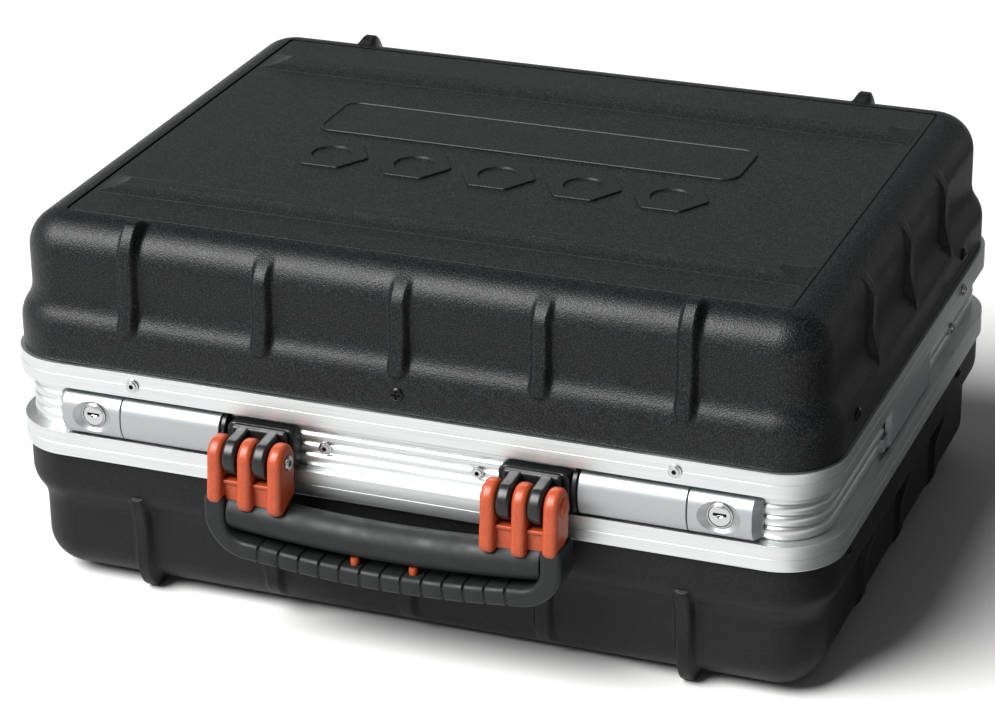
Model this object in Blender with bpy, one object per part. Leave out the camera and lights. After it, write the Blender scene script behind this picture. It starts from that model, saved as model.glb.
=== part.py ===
"""Hard-shell tool case with an aluminium frame, a folding carry handle and a socket wrench set inside.

Sizes below are in millimetres and become metres when a mesh is made. The case stands on its feet at z = 0,
with its front towards -Y. The case's own centre lies behind the middle of the whole object, because the
handle stands out further in front than the hinges do at the back.
"""

import math

import bmesh
import bpy
from mathutils import Vector

MM = 0.001

# The case: outer size of the aluminium band, and the levels up from the feet.
CASE_WIDTH = 480.0
CASE_DEPTH = 365.0
CORNER_RADIUS = 35.0
BASE_BOTTOM = 3.3
LID_TOP = 219.0
MIRROR_SUM = BASE_BOTTOM + LID_TOP
PARTING_LOW = 124.8
PARTING_HIGH = 125.2
BAND_TOP = 139.5
FLUTE_BOTTOM = 97.6
SHELL_RIM = 139.8
CASE_FORWARD = 9.75
CORNER_STEPS = 5
SMALLEST_CORNER = 5.0

# The moulded shells: insets from the band's face.
WALL = 3.0
FLANGE_INSET = 2.5
SWEEP_LOW = 156.0
SWEEP_HIGH = 178.0
BODY_INSET = 9.5
TOP_ROUND = 21.0
CEILING = 215.0
RIB_ROOT = 13.0
RIB_CREST = 8.0
RIB_INSET = 4.5
SIDE_RIB_INSET = 5.5
RIB_END = 162.0
RIB_PITCH = 80.0
SIDE_RIB_PITCH = 78.0
LUG_HEIGHT = 3.3

# The lid's inset panel.
PANEL_INSET = 32.0
PANEL_GAP = 0.4
PANEL_FLOOR = 217.2
PANEL_TOP = 219.3
RIDGE_Y = 108.5
RIDGE_HALF_LENGTH = 205.0
RIDGE_HALF_WIDTH = 13.5
RIDGE_HEIGHT = 4.5
RIDGE_HIP = 15.0
BADGE_HALF_LENGTH = 128.7
BADGE_Y = (7.6, 58.0)
BADGE_HEIGHT = 1.2
MOTIF_RADIUS = 22.0
MOTIF_PITCH = 51.04
MOTIF_Y = -27.0

# The frame's legs behind the shells' rims, and the base frame's flutes and seal groove.
LEG_HEIGHT = 11.5
SEAL_GROOVE = (7.6, 9.2)
SEAL_DEPTH = 1.8
BASE_FRAME_BACK = 11.0
FLUTE_INSET = 6.0
FLUTE_GROOVE = 1.4
FLUTE_CROWN = 1.3
FLUTES = 4

# Latches and locks.
LATCH_BACK = -176.8
LATCH_FRONT = -186.0
LATCH_LOW = 98.2
LATCH_HIGH = 122.8
LATCH_SPLIT = 164.0
LATCH_OUTER_END = 203.4
LEVER_INNER_END = 104.0
GUARD_INNER_END = 99.8
LEVER_AXIS = (-181.0, 100.6)
LEVER_PIN_RADIUS = 1.2
LATCH_HEEL = 1.6
KEY_X = 181.5
KEY_Z = 111.5
KEY_RADIUS = 6.2
DISH_RADII = (12.0, 7.5)
DISH_DEPTH = 2.5
KEY_SLOT_HALF = (3.7, 1.0)
CLEARANCE = 0.3

# Carry handle.
HANDLE_X = 79.0
PIN_Y = -198.5
PIN_Z = 109.5
PIN_RADIUS = 3.0
PIN_HEAD_RADIUS = 4.2
BRACKET_HALF = (20.2, 11.9)
BRACKET_CENTRE_Z = 109.8
BRACKET_FRONT = -186.0
KNUCKLE_RADIUS = 10.0
KNUCKLE_OFFSET = 8.9
KNUCKLE_WIDTH = 7.5
PRONG_RADIUS = 10.5
PRONG_PITCH = 17.75
PRONG_WIDTH = 8.5
PRONG_FOOT = 81.5
TIE_HALF_LENGTH = 18.0
TIE_Y = (-205.0, -192.0)
TIE_Z = (82.0, 97.0)
BOSS_RADIUS = 5.0
BAR_Y = -199.0
BAR_Z = 72.0
BAR_RADIUS = 10.6
BAR_HALF_LENGTH = 90.7
BAR_RISE = 5.0
GRIP_HALF_LENGTH = 103.5
GRIP_Y = (-210.4, -188.0)
GRIP_BOTTOM = 47.2
GRIP_THICK = 10.6
GRIP_RISE = 6.5
GRIP_END_TOP = 88.0
STUD_X = 17.0
STUD_Y = -203.5
STUD_RADIUS = 2.3
STUD_Z = (58.4, 61.4)

# Hinges at the back.
HINGE_Y = 187.5
HINGE_Z = 125.0
HINGE_X = 120.0
HINGE_HALF_WIDTH = 30.0
HINGE_KNUCKLE_RADIUS = 3.5
HINGE_PIN_RADIUS = 1.3

# Lid stays: the two pivots, both arms' lengths and where the folded elbow lies.
STAY_X = 222.0
STAY_LOW_PIVOT = (97.5, 108.0)
STAY_HIGH_PIVOT = (97.5, 133.0)
STAY_ARM = 90.0
STAY_ARM_WIDTH = 11.0
STAY_ARM_THICK = 1.8
STAY_ELBOW_SPACE = 2.6

# Rivets and the band's joint plate.
RIVET_RADIUS = 3.85
RIVET_HEIGHT = 1.6
FRONT_LID_RIVET = (156.6, 132.8)
FRONT_FLUTE_RIVET = (44.4, 110.5)
JOINT_PLATE_Y = (-52.0, 38.0)

# Tools, in the foam insert of the base.
FOAM_TOP = 60.0
SOCKET_SIZES = (24, 22, 21, 19, 17, 16, 14, 13)
SOCKET_X = -175.0
SOCKET_PITCH = 50.0
SOCKET_Y = 95.0
SOCKET_BOTTOM = 24.0
SOCKET_HEIGHT = 44.0
SOCKET_WALL = 3.9
TRAY_FLOOR = 44.0
TRAY_HALF = (196.0, 21.0)
HEXAGON_CORNER = 1.155
SQUARE_DRIVE = 12.7
RATCHET_X = -120.0
RATCHET_HEAD_RADIUS = 17.0
RATCHET_HALF_HEIGHT = 8.0
RATCHET_BORE_RADIUS = 10.4
RATCHET_END = 130.0
RATCHET_Z = 58.0
EXTENSION_Y = -85.0
EXTENSION_HALF = 125.0


def finish(name, colour, roughness, metallic=0.0):
    """One Principled material; colour is sRGB from 0 to 1, turned to linear."""
    material = bpy.data.materials.new(name)
    material.use_nodes = True
    shader = material.node_tree.nodes["Principled BSDF"]
    linear = [c / 12.92 if c <= 0.04045 else ((c + 0.055) / 1.055) ** 2.4 for c in colour]
    shader.inputs["Base Color"].default_value = (*linear, 1.0)
    shader.inputs["Roughness"].default_value = roughness
    shader.inputs["Metallic"].default_value = metallic
    material.diffuse_color = (*linear, 1.0)
    return material


def arc(centre, radii, start, end, steps):
    """Points along an ellipse from one angle to another, in degrees."""
    points = []
    for step in range(steps + 1):
        angle = math.radians(start + (end - start) * step / steps)
        points.append((centre[0] + radii[0] * math.cos(angle), centre[1] + radii[1] * math.sin(angle)))
    return points


def rounded_rectangle(half_x, half_y, radius, steps=CORNER_STEPS):
    """Outline of a rectangle with round corners, counter-clockwise from the right."""
    points = []
    for quarter, (side_x, side_y) in enumerate(((1, 1), (-1, 1), (-1, -1), (1, -1))):
        centre = (side_x * (half_x - radius), side_y * (half_y - radius))
        points += arc(centre, (radius, radius), 90 * quarter, 90 * quarter + 90, steps)
    return points


def case_ring(inset, level):
    """The case's outline at one level, drawn in from the band's face by inset."""
    radius = max(CORNER_RADIUS - inset, SMALLEST_CORNER)
    outline = rounded_rectangle(CASE_WIDTH / 2 - inset, CASE_DEPTH / 2 - inset, radius)
    return [(x, y, level) for x, y in outline]


def loft(rings, closed=False):
    """Solid skin through a stack of outlines: capped at both ends, or joined back to its start."""
    shape = bmesh.new()
    rows = [[shape.verts.new(point) for point in ring] for ring in rings]
    following = rows[1:] + rows[:1] if closed else rows[1:]
    for low, high in zip(rows, following):
        for i, corner in enumerate(low):
            j = (i + 1) % len(low)
            shape.faces.new((corner, low[j], high[j], high[i]))
    if not closed:
        shape.faces.new(rows[0][::-1])
        shape.faces.new(rows[-1])
    bmesh.ops.recalc_face_normals(shape, faces=shape.faces)
    return shape


def prism(outline, along, low, high):
    """An outline in the two other axes, in X, Y, Z order, pushed along one axis."""
    place = {
        "X": lambda level, a, b: (level, a, b),
        "Y": lambda level, a, b: (a, level, b),
        "Z": lambda level, a, b: (a, b, level),
    }[along]
    return loft([[place(level, a, b) for a, b in outline] for level in (low, high)])


def cylinder(centre, radius, along, low, high, sides=16):
    return prism(arc(centre, (radius, radius), 0, 360 - 360 / sides, sides - 1), along, low, high)


def box(low, high):
    corners = [(low[0], low[1]), (high[0], low[1]), (high[0], high[1]), (low[0], high[1])]
    return prism(corners, "Z", low[2], high[2])


def hexagon(centre, radius):
    return arc(centre, (radius, radius), 0, 300, 5)


def mesh_object(name, shapes):
    """One object from one or more shapes, scaled to metres."""
    mesh = bpy.data.meshes.new(name)
    whole = bmesh.new()
    for shape in shapes:
        part = bpy.data.meshes.new(name + "_shape")
        shape.to_mesh(part)
        shape.free()
        whole.from_mesh(part)
        bpy.data.meshes.remove(part)
    bmesh.ops.scale(whole, vec=(MM, MM, MM), verts=whole.verts)
    whole.to_mesh(mesh)
    whole.free()
    made = bpy.data.objects.new(name, mesh)
    bpy.context.scene.collection.objects.link(made)
    return made


def case_place(pivot):
    """Where an empty stands in the case's coordinates; the case's own empty is their zero."""
    place = Vector((0.0, 0.0, 0.0))
    while pivot and pivot.parent:
        place += pivot.location
        pivot = pivot.parent
    return place


def hang(made, pivot):
    """Parents an object drawn in the case's coordinates to an empty, without moving it."""
    made.parent = pivot
    made.location = -case_place(pivot)


def solid(name, shape, material, pivot, add=(), cut=()):
    """A named piece. Each entry of add or cut is a list of shapes that stand clear of each other."""
    made = mesh_object(name, [shape])
    made.data.materials.append(material)
    hang(made, pivot)
    for operation, groups in (("UNION", add), ("DIFFERENCE", cut)):
        for index, group in enumerate(groups):
            helper = mesh_object(f"{name}_{operation.lower()}_{index}", group)
            helper.hide_render = True
            helper.display_type = "WIRE"
            hang(helper, pivot)
            modifier = made.modifiers.new(operation.title(), "BOOLEAN")
            modifier.operation = operation
            modifier.object = helper
            modifier.solver = "EXACT"
    made.data.shade_smooth()
    made.data.set_sharp_from_angle(angle=math.radians(35))
    return made


def pivot_empty(name, parent=None, place=(0.0, 0.0, 0.0)):
    """An empty at a place in the case's coordinates, in millimetres."""
    empty = bpy.data.objects.new(name, None)
    bpy.context.scene.collection.objects.link(empty)
    empty.parent = parent
    empty.location = Vector(place) * MM - case_place(parent)
    return empty


def flipped(profile):
    """The lid's profile turned over for the base."""
    return [(inset, MIRROR_SUM - level) for inset, level in profile]


def sweep_line():
    """The flange's sweep into the wall: two equal arcs that meet halfway, from the top down."""
    across = BODY_INSET - FLANGE_INSET
    rise = SWEEP_HIGH - SWEEP_LOW
    radius = (across**2 + rise**2) / (4 * across)
    turn = math.degrees(math.asin(rise / 2 / radius))
    high = arc((BODY_INSET - radius, SWEEP_HIGH), (radius, radius), 0, -turn, 2)
    return high + arc((FLANGE_INSET + radius, SWEEP_LOW), (radius, radius), 180 - turn, 180, 2)[1:]


def shell_profile():
    """Outer and inner lines of the lid shell's wall, from the top down, as (inset, level)."""
    turn = BODY_INSET + TOP_ROUND
    spring = LID_TOP - TOP_ROUND
    inner = BODY_INSET + WALL
    outer = arc((turn, spring), (TOP_ROUND, TOP_ROUND), 90, 180, 4)
    outer += sweep_line() + [(FLANGE_INSET, SHELL_RIM)]
    inside = [(FLANGE_INSET + WALL, SHELL_RIM), (FLANGE_INSET + WALL, SWEEP_LOW - 2), (inner, SWEEP_HIGH)]
    inside += arc((turn, spring), (turn - inner, CEILING - spring), 180, 90, 3)
    return outer, inside


def rib_outline(lug, crest_inset):
    """Side view of one rib as (inset, level): its crest leans out to the flange, its root is in the wall."""
    turn = BODY_INSET + TOP_ROUND
    spring = LID_TOP - TOP_ROUND
    root = TOP_ROUND - WALL / 2
    crest = [(FLANGE_INSET + 0.2, RIB_END), (crest_inset, SWEEP_HIGH + 4), (crest_inset, spring)]
    if lug:
        crest += [(crest_inset + 2.5, spring + 14), (crest_inset + 7, LID_TOP + LUG_HEIGHT)]
        crest += [(crest_inset + 18, LID_TOP + LUG_HEIGHT), (crest_inset + 22, LID_TOP - 1.5)]
        buried = arc((turn, spring), (root, root), 110, 180, 4)
    else:
        crest += [(crest_inset + 1.5, spring + 7), (BODY_INSET + 0.8, spring + 12)]
        buried = arc((turn, spring), (root, root), 142, 180, 2)
    return crest + buried + [(BODY_INSET + 1.5, SWEEP_HIGH + 2), (FLANGE_INSET + 2.5, RIB_END)]


def rib(side, position, lug=False, turned=False):
    """One rib on a side of the case: front, back, left or right."""
    outline = rib_outline(lug, SIDE_RIB_INSET if side in ("left", "right") else RIB_INSET)
    outline = flipped(outline) if turned else outline
    depth = CASE_WIDTH / 2 if side in ("left", "right") else CASE_DEPTH / 2
    sign = -1 if side in ("front", "left") else 1
    rings = []
    for edge in (-1, 1):
        ring = []
        for inset, level in outline:
            share = min(max((inset - FLANGE_INSET) / (BODY_INSET - FLANGE_INSET), 0), 1)
            half = (RIB_CREST + (RIB_ROOT - RIB_CREST) * share) / 2
            across = position + edge * half
            out = sign * (depth - inset)
            ring.append((across, out, level) if side in ("front", "back") else (out, across, level))
        rings.append(ring)
    return loft(rings)


def ribs(turned):
    made = []
    for side in ("front", "back"):
        for step in (-2, -1, 0, 1, 2):
            made.append(rib(side, step * RIB_PITCH, abs(step) == 2, turned))
    for side in ("left", "right"):
        for step in (-1, 0, 1):
            made.append(rib(side, step * SIDE_RIB_PITCH, False, turned))
    return made


def make_lid_shell(material, pivot):
    outer, inside = shell_profile()
    pocket = PANEL_INSET - PANEL_GAP
    profile = [(pocket, PANEL_FLOOR), (pocket, LID_TOP)] + outer + inside
    rings = [case_ring(inset, level) for inset, level in profile]
    solid("lid_shell", loft(rings), material, pivot, add=[ribs(False)])


def make_base_shell(material, pivot):
    outer, inside = shell_profile()
    rings = [case_ring(inset, level) for inset, level in flipped(outer + inside)]
    solid("base_shell", loft(rings), material, pivot, add=[ribs(True)])


def make_lid_panel(material, pivot):
    """Inset top panel with two long ridges, a plain badge plate and a row of plain hexagons."""
    outline = case_ring(PANEL_INSET, 0.0)
    plate = loft([[(x, y, level) for x, y, _ in outline] for level in (PANEL_FLOOR + CLEARANCE, PANEL_TOP)])
    raised = [hip_ridge(side * RIDGE_Y) for side in (-1, 1)]
    badge_half = (BADGE_Y[1] - BADGE_Y[0]) / 2
    badge_middle = (BADGE_Y[0] + BADGE_Y[1]) / 2
    badge = rounded_rectangle(BADGE_HALF_LENGTH, badge_half, 10.0, 3)
    badge = [(x, y + badge_middle) for x, y in badge]
    raised.append(prism(badge, "Z", PANEL_TOP - 0.6, PANEL_TOP + BADGE_HEIGHT))
    for step in (-2, -1, 0, 1, 2):
        motif = hexagon((step * MOTIF_PITCH, MOTIF_Y), MOTIF_RADIUS)
        raised.append(prism(motif, "Z", PANEL_TOP - 0.6, PANEL_TOP + BADGE_HEIGHT))
    solid("lid_panel", plate, material, pivot, add=[raised])


def hip_ridge(middle):
    """A long low ridge with sloping sides and ends."""
    rings = []
    for half_x, half_y, level in (
        (RIDGE_HALF_LENGTH, RIDGE_HALF_WIDTH, PANEL_TOP - 0.6),
        (RIDGE_HALF_LENGTH, RIDGE_HALF_WIDTH, PANEL_TOP),
        (RIDGE_HALF_LENGTH - RIDGE_HIP, 2.0, PANEL_TOP + RIDGE_HEIGHT - 1.3),
    ):
        corners = ((half_x, half_y), (-half_x, half_y), (-half_x, -half_y), (half_x, -half_y))
        rings.append([(x, y + middle, level) for x, y in corners])
    return loft(rings)


def make_lid_frame(material, pivot):
    leg = FLANGE_INSET + WALL + CLEARANCE
    profile = [(0.4, PARTING_HIGH), (0, PARTING_HIGH + 0.8), (0, BAND_TOP - 0.5), (0.5, BAND_TOP)]
    profile += [(leg, BAND_TOP), (leg, BAND_TOP + LEG_HEIGHT), (leg + WALL, BAND_TOP + LEG_HEIGHT)]
    profile += [(leg + WALL, PARTING_HIGH)]
    solid("lid_frame", loft([case_ring(*point) for point in profile], closed=True), material, pivot)


def make_base_frame(material, pivot):
    leg = FLANGE_INSET + WALL + CLEARANCE
    foot = MIRROR_SUM - SHELL_RIM + CLEARANCE
    pitch = (PARTING_LOW - FLUTE_BOTTOM - 0.4) / FLUTES
    profile = [(0.5, foot), (0, foot + 0.5), (0, FLUTE_BOTTOM - 0.4), (0.4, FLUTE_BOTTOM)]
    for flute in range(FLUTES):
        level = FLUTE_BOTTOM + 0.4 + flute * pitch
        profile += [(FLUTE_INSET + FLUTE_GROOVE, level)]
        profile += [(FLUTE_INSET, level + FLUTE_CROWN), (FLUTE_INSET, level + pitch - FLUTE_CROWN)]
    near, far = SEAL_GROOVE
    profile += [(FLUTE_INSET + 0.8, PARTING_LOW), (near, PARTING_LOW), (near, PARTING_LOW - SEAL_DEPTH)]
    profile += [(far, PARTING_LOW - SEAL_DEPTH), (far, PARTING_LOW)]
    profile += [(BASE_FRAME_BACK, PARTING_LOW), (BASE_FRAME_BACK, foot + 1)]
    tip = foot - LEG_HEIGHT
    profile += [(leg + WALL, foot - 1), (leg + WALL, tip), (leg, tip), (leg, foot)]
    solid("base_frame", loft([case_ring(*point) for point in profile], closed=True), material, pivot)


def make_seal(material, pivot):
    low = PARTING_LOW - SEAL_DEPTH + CLEARANCE
    near = SEAL_GROOVE[0] + CLEARANCE
    far = SEAL_GROOVE[1] - CLEARANCE
    profile = [(near, low), (far, low), (far, PARTING_LOW + 0.1), (near, PARTING_LOW + 0.1)]
    solid("base_seal", loft([case_ring(*point) for point in profile], closed=True), material, pivot)


def latch_outline():
    """D-shaped section of the latches as (y, z), bulging to the front, its lower back corner cut off."""
    middle = (LATCH_LOW + LATCH_HIGH) / 2
    half = (LATCH_HIGH - LATCH_LOW) / 2
    bulge = LATCH_BACK - 1.0 - LATCH_FRONT
    points = [(LATCH_BACK, LATCH_LOW + LATCH_HEEL), (LATCH_BACK - LATCH_HEEL, LATCH_LOW)]
    for step in range(1, 9):
        angle = math.pi * step / 8
        points.append((LATCH_BACK - 1.0 - bulge * math.sin(angle) ** 0.7, middle - half * math.cos(angle)))
    return points + [(LATCH_BACK, LATCH_HIGH)]


def span(side, inner, outer):
    """A stretch between two distances from the middle, on one side, low end first."""
    return (inner, outer) if side > 0 else (-outer, -inner)


def make_latch(side, word, metal, dark, steel, case):
    outline = latch_outline()
    key_x = side * KEY_X
    bore = cylinder((key_x, KEY_Z), KEY_RADIUS + CLEARANCE, "Y", LATCH_FRONT - 3, LATCH_BACK + 3, 24)
    dish = loft(
        [
            [(x, level, z) for x, z in arc((key_x, KEY_Z), (radius, radius), 0, 345, 23)]
            for radius, level in zip(DISH_RADII, (LATCH_FRONT - 0.5, LATCH_FRONT + DISH_DEPTH))
        ]
    )
    body = prism(outline, "X", *span(side, LATCH_SPLIT + CLEARANCE, LATCH_OUTER_END))
    solid(f"lock_body_{word}", body, metal, case, cut=[[dish], [bore]])

    hole = cylinder(LEVER_AXIS, LEVER_PIN_RADIUS + CLEARANCE, "X", *span(side, 95.0, 170.0), 12)
    hinge = pivot_empty(f"latch_pivot_{word}", case, (0.0, *LEVER_AXIS))
    lever = prism(outline, "X", *span(side, LEVER_INNER_END, LATCH_SPLIT - CLEARANCE))
    solid(f"latch_lever_{word}", lever, metal, hinge, cut=[[hole]])
    pin_ends = span(side, LEVER_INNER_END, LATCH_SPLIT - CLEARANCE)
    solid(f"latch_pin_{word}", cylinder(LEVER_AXIS, LEVER_PIN_RADIUS, "X", *pin_ends, 12), steel, case)
    guard = prism(outline, "X", *span(side, GUARD_INNER_END, LEVER_INNER_END - 0.4))
    solid(f"lever_guard_{word}", guard, dark, case)

    turn = pivot_empty(f"key_pivot_{word}", case, (key_x, LATCH_FRONT, KEY_Z))
    plug = cylinder((key_x, KEY_Z), KEY_RADIUS, "Y", LATCH_FRONT + 1.6, LATCH_BACK - 0.4, 24)
    half_x, half_z = KEY_SLOT_HALF
    floor = LATCH_FRONT + 3.4
    slot = box((key_x - half_x, LATCH_FRONT, KEY_Z - half_z), (key_x + half_x, floor, KEY_Z + half_z))
    solid(f"key_cylinder_{word}", plug, steel, turn, cut=[[slot]])


def make_bracket(side, word, material, case):
    """Plate on the flutes with two round knuckles that carry the handle's pin."""
    middle = side * HANDLE_X
    plate = rounded_rectangle(*BRACKET_HALF, 4.0, 3)
    plate = [(x + middle, z + BRACKET_CENTRE_Z) for x, z in plate]
    plate = prism(plate, "Y", BRACKET_FRONT, LATCH_BACK)
    front = arc((PIN_Y, PIN_Z), (KNUCKLE_RADIUS, KNUCKLE_RADIUS), 90, 270, 8)
    root = BRACKET_FRONT + 2.0
    outline = [(root, PIN_Z + KNUCKLE_RADIUS)] + front + [(root, PIN_Z - KNUCKLE_RADIUS)]
    knuckles = []
    for offset in (-KNUCKLE_OFFSET, KNUCKLE_OFFSET):
        low = middle + offset - KNUCKLE_WIDTH / 2
        knuckles.append(prism(outline, "X", low, low + KNUCKLE_WIDTH))
    hole = cylinder((PIN_Y, PIN_Z), PIN_RADIUS + CLEARANCE, "X", middle - 22, middle + 22)
    solid(f"handle_bracket_{word}", plate, material, case, add=[knuckles], cut=[[hole]])


def bar_level(x, rise=BAR_RISE):
    """How much the handle's bow lifts a point above its middle."""
    return rise * (x / 90.0) ** 2


def bar_shape(radius, half_length, steps=12, sides=12):
    rings = []
    for step in range(steps + 1):
        x = half_length * (2 * step / steps - 1)
        circle = arc((BAR_Y, BAR_Z + bar_level(x)), (radius, radius), 0, 360 - 360 / sides, sides - 1)
        rings.append([(x, y, z) for y, z in circle])
    return loft(rings)


def grip_outline():
    """Front view of the cushion under the bar as (x, z): a lower run with an upright end at each side."""
    inner_end = BAR_HALF_LENGTH + CLEARANCE
    top = GRIP_BOTTOM + GRIP_THICK
    outer = [(-GRIP_HALF_LENGTH, GRIP_END_TOP)]
    outer += arc((-GRIP_HALF_LENGTH + 16, GRIP_BOTTOM + GRIP_RISE + 16), (16, 16), 180, 250, 4)
    run = [-75 + 15 * step for step in range(11)]
    outer += [(x, GRIP_BOTTOM + bar_level(x, GRIP_RISE)) for x in run]
    outer += arc((GRIP_HALF_LENGTH - 16, GRIP_BOTTOM + GRIP_RISE + 16), (16, 16), 290, 360, 4)
    outer += [(GRIP_HALF_LENGTH, GRIP_END_TOP), (inner_end, GRIP_END_TOP)]
    back = [(x, top + bar_level(x, GRIP_RISE)) for x in (90, 60, 30, 0, -30, -60, -90)]
    return outer + [(inner_end, top + GRIP_RISE + 1)] + back + [
        (-inner_end, top + GRIP_RISE + 1),
        (-inner_end, GRIP_END_TOP),
    ]


def make_link(side, word, material, pivot):
    """Three prongs about the pin, tied by a cross bar, seated on the handle's bar."""
    middle = side * HANDLE_X
    crown = arc((PIN_Y, PIN_Z), (PRONG_RADIUS, PRONG_RADIUS), 0, 180, 8)
    outline = crown + [(PIN_Y - PRONG_RADIUS, PRONG_FOOT), (PIN_Y + PRONG_RADIUS, PRONG_FOOT)]
    prongs = []
    for step in (-1, 0, 1):
        low = middle + step * PRONG_PITCH - PRONG_WIDTH / 2
        prongs.append(prism(outline, "X", low, low + PRONG_WIDTH))
    outer_face = middle + side * (PRONG_PITCH + PRONG_WIDTH / 2)
    boss = cylinder((PIN_Y, PIN_Z), BOSS_RADIUS, "X", *sorted((outer_face - side, outer_face + side * 0.8)))
    tie = box((middle - TIE_HALF_LENGTH, TIE_Y[0], TIE_Z[0]), (middle + TIE_HALF_LENGTH, TIE_Y[1], TIE_Z[1]))
    blind = sorted((middle - side * 24, outer_face - side * 0.9))
    hole = cylinder((PIN_Y, PIN_Z), PIN_RADIUS + CLEARANCE, "X", *blind)
    under = bar_shape(BAR_RADIUS + CLEARANCE, 110)
    end = span(side, BAR_HALF_LENGTH, GRIP_HALF_LENGTH + 5)
    wall = box((end[0], -215, 70), (end[1], -180, GRIP_END_TOP + CLEARANCE))
    solid(
        f"handle_link_{word}", tie, material, pivot,
        add=[prongs, [boss]], cut=[[hole], [under], [wall]],
    )


def make_handle(orange, rubber, steel, case):
    pivot = pivot_empty("handle_pivot", case, (0.0, PIN_Y, PIN_Z))
    for side, word in ((-1, "left"), (1, "right")):
        make_link(side, word, orange, pivot)
        middle = side * HANDLE_X
        head = sorted((middle - side * 23.6, middle - side * 22.3))
        shank = sorted((middle - side * 23.0, middle + side * 20.6))
        pin = cylinder((PIN_Y, PIN_Z), PIN_RADIUS, "X", *shank)
        rim = cylinder((PIN_Y, PIN_Z), PIN_HEAD_RADIUS, "X", *head, 12)
        solid(f"handle_pin_{word}", pin, steel, case, add=[[rim]])
        stud = cylinder((side * STUD_X, STUD_Y), STUD_RADIUS, "Z", *STUD_Z, 10)
        solid(f"spacer_stud_{word}", stud, orange, pivot)
    solid("handle_bar", bar_shape(BAR_RADIUS, BAR_HALF_LENGTH), rubber, pivot)
    solid("handle_cushion", prism(grip_outline(), "Y", *GRIP_Y), rubber, pivot)


def make_hinge(side, word, metal, steel, case, lid):
    """Back hinge: a leaf on the flutes, a leaf on the lid's band, and one pin through three knuckles."""
    left = side * HINGE_X - HINGE_HALF_WIDTH
    right = side * HINGE_X + HINGE_HALF_WIDTH
    inner = HINGE_HALF_WIDTH / 3
    hub_low, hub_high = side * HINGE_X - inner, side * HINGE_X + inner
    axis = (HINGE_Y, HINGE_Z)
    reach = (left - 2, right + 2)
    holes = [cylinder(axis, HINGE_PIN_RADIUS + CLEARANCE, "X", *reach, 12) for _ in range(2)]
    plate = box((left, -LATCH_BACK, 99.0), (right, -LATCH_BACK + 2.5, 122.0))
    ears = []
    webs = []
    for low, high in ((left, hub_low - CLEARANCE), (hub_high + CLEARANCE, right)):
        ears.append(cylinder(axis, HINGE_KNUCKLE_RADIUS, "X", low, high, 12))
        webs.append(box((low, -LATCH_BACK + 1, 120.5), (high, HINGE_Y, 124.4)))
    solid(f"hinge_leaf_base_{word}", plate, metal, case, add=[webs, ears], cut=[holes[:1]])
    band = CASE_DEPTH / 2 + CLEARANCE
    leaf = box((left, band, 129.0), (right, band + 2.4, 138.6))
    hub = cylinder(axis, HINGE_KNUCKLE_RADIUS, "X", hub_low, hub_high, 12)
    web = box((hub_low, band, HINGE_Z + 0.6), (hub_high, HINGE_Y, 130.0))
    solid(f"hinge_leaf_lid_{word}", leaf, metal, lid, add=[[web], [hub]], cut=[holes[1:]])
    solid(f"hinge_pin_{word}", cylinder(axis, HINGE_PIN_RADIUS, "X", left, right, 12), steel, case)


def stay_elbow():
    """Where both arms meet when the lid is shut, as (y, z): in front of the pivots."""
    half = (STAY_HIGH_PIVOT[1] - STAY_LOW_PIVOT[1]) / 2
    return (STAY_LOW_PIVOT[0] - math.sqrt(STAY_ARM**2 - half**2), STAY_LOW_PIVOT[1] + half)


def stay_arm(start, end, side, inner):
    """Flat bar with round ends between two points of the side view."""
    turn = math.degrees(math.atan2(end[1] - start[1], end[0] - start[0]))
    radius = STAY_ARM_WIDTH / 2
    outline = arc(end, (radius, radius), turn - 90, turn + 90, 6)
    outline += arc(start, (radius, radius), turn + 90, turn + 270, 6)
    return prism(outline, "X", *span(side, inner, inner + STAY_ARM_THICK))


def make_stay(side, word, metal, case, lid):
    elbow = stay_elbow()
    low = pivot_empty(f"stay_low_pivot_{word}", case, (side * STAY_X, *STAY_LOW_PIVOT))
    high = pivot_empty(f"stay_high_pivot_{word}", lid, (side * STAY_X, *STAY_HIGH_PIVOT))
    outer = STAY_X + STAY_ELBOW_SPACE
    solid(f"stay_arm_lower_{word}", stay_arm(STAY_LOW_PIVOT, elbow, side, outer), metal, low)
    solid(f"stay_arm_upper_{word}", stay_arm(STAY_HIGH_PIVOT, elbow, side, STAY_X), metal, high)


def make_rivets(side, word, metal, case, lid):
    x, z = FRONT_LID_RIVET
    front = -CASE_DEPTH / 2 - CLEARANCE
    head = cylinder((side * x, z), RIVET_RADIUS, "Y", front - RIVET_HEIGHT, front, 12)
    solid(f"lid_rivet_front_{word}", head, metal, lid)
    x, z = FRONT_FLUTE_RIVET
    head = cylinder((side * x, z), RIVET_RADIUS, "Y", LATCH_BACK - RIVET_HEIGHT, LATCH_BACK, 12)
    solid(f"frame_rivet_front_{word}", head, metal, case)
    face = CASE_WIDTH / 2 + CLEARANCE
    head = cylinder(STAY_HIGH_PIVOT, RIVET_RADIUS, "X", *span(side, face, face + RIVET_HEIGHT), 12)
    solid(f"lid_stay_rivet_{word}", head, metal, lid)
    face -= FLUTE_INSET
    head = cylinder(STAY_LOW_PIVOT, RIVET_RADIUS, "X", *span(side, face, face + RIVET_HEIGHT), 12)
    solid(f"base_stay_rivet_{word}", head, metal, case)


def socket_radius(size):
    """Outer radius of a socket for one bolt size, never thinner than its square drive needs."""
    return max(size / 2 * HEXAGON_CORNER + SOCKET_WALL * 0.55, 10.4)


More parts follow.
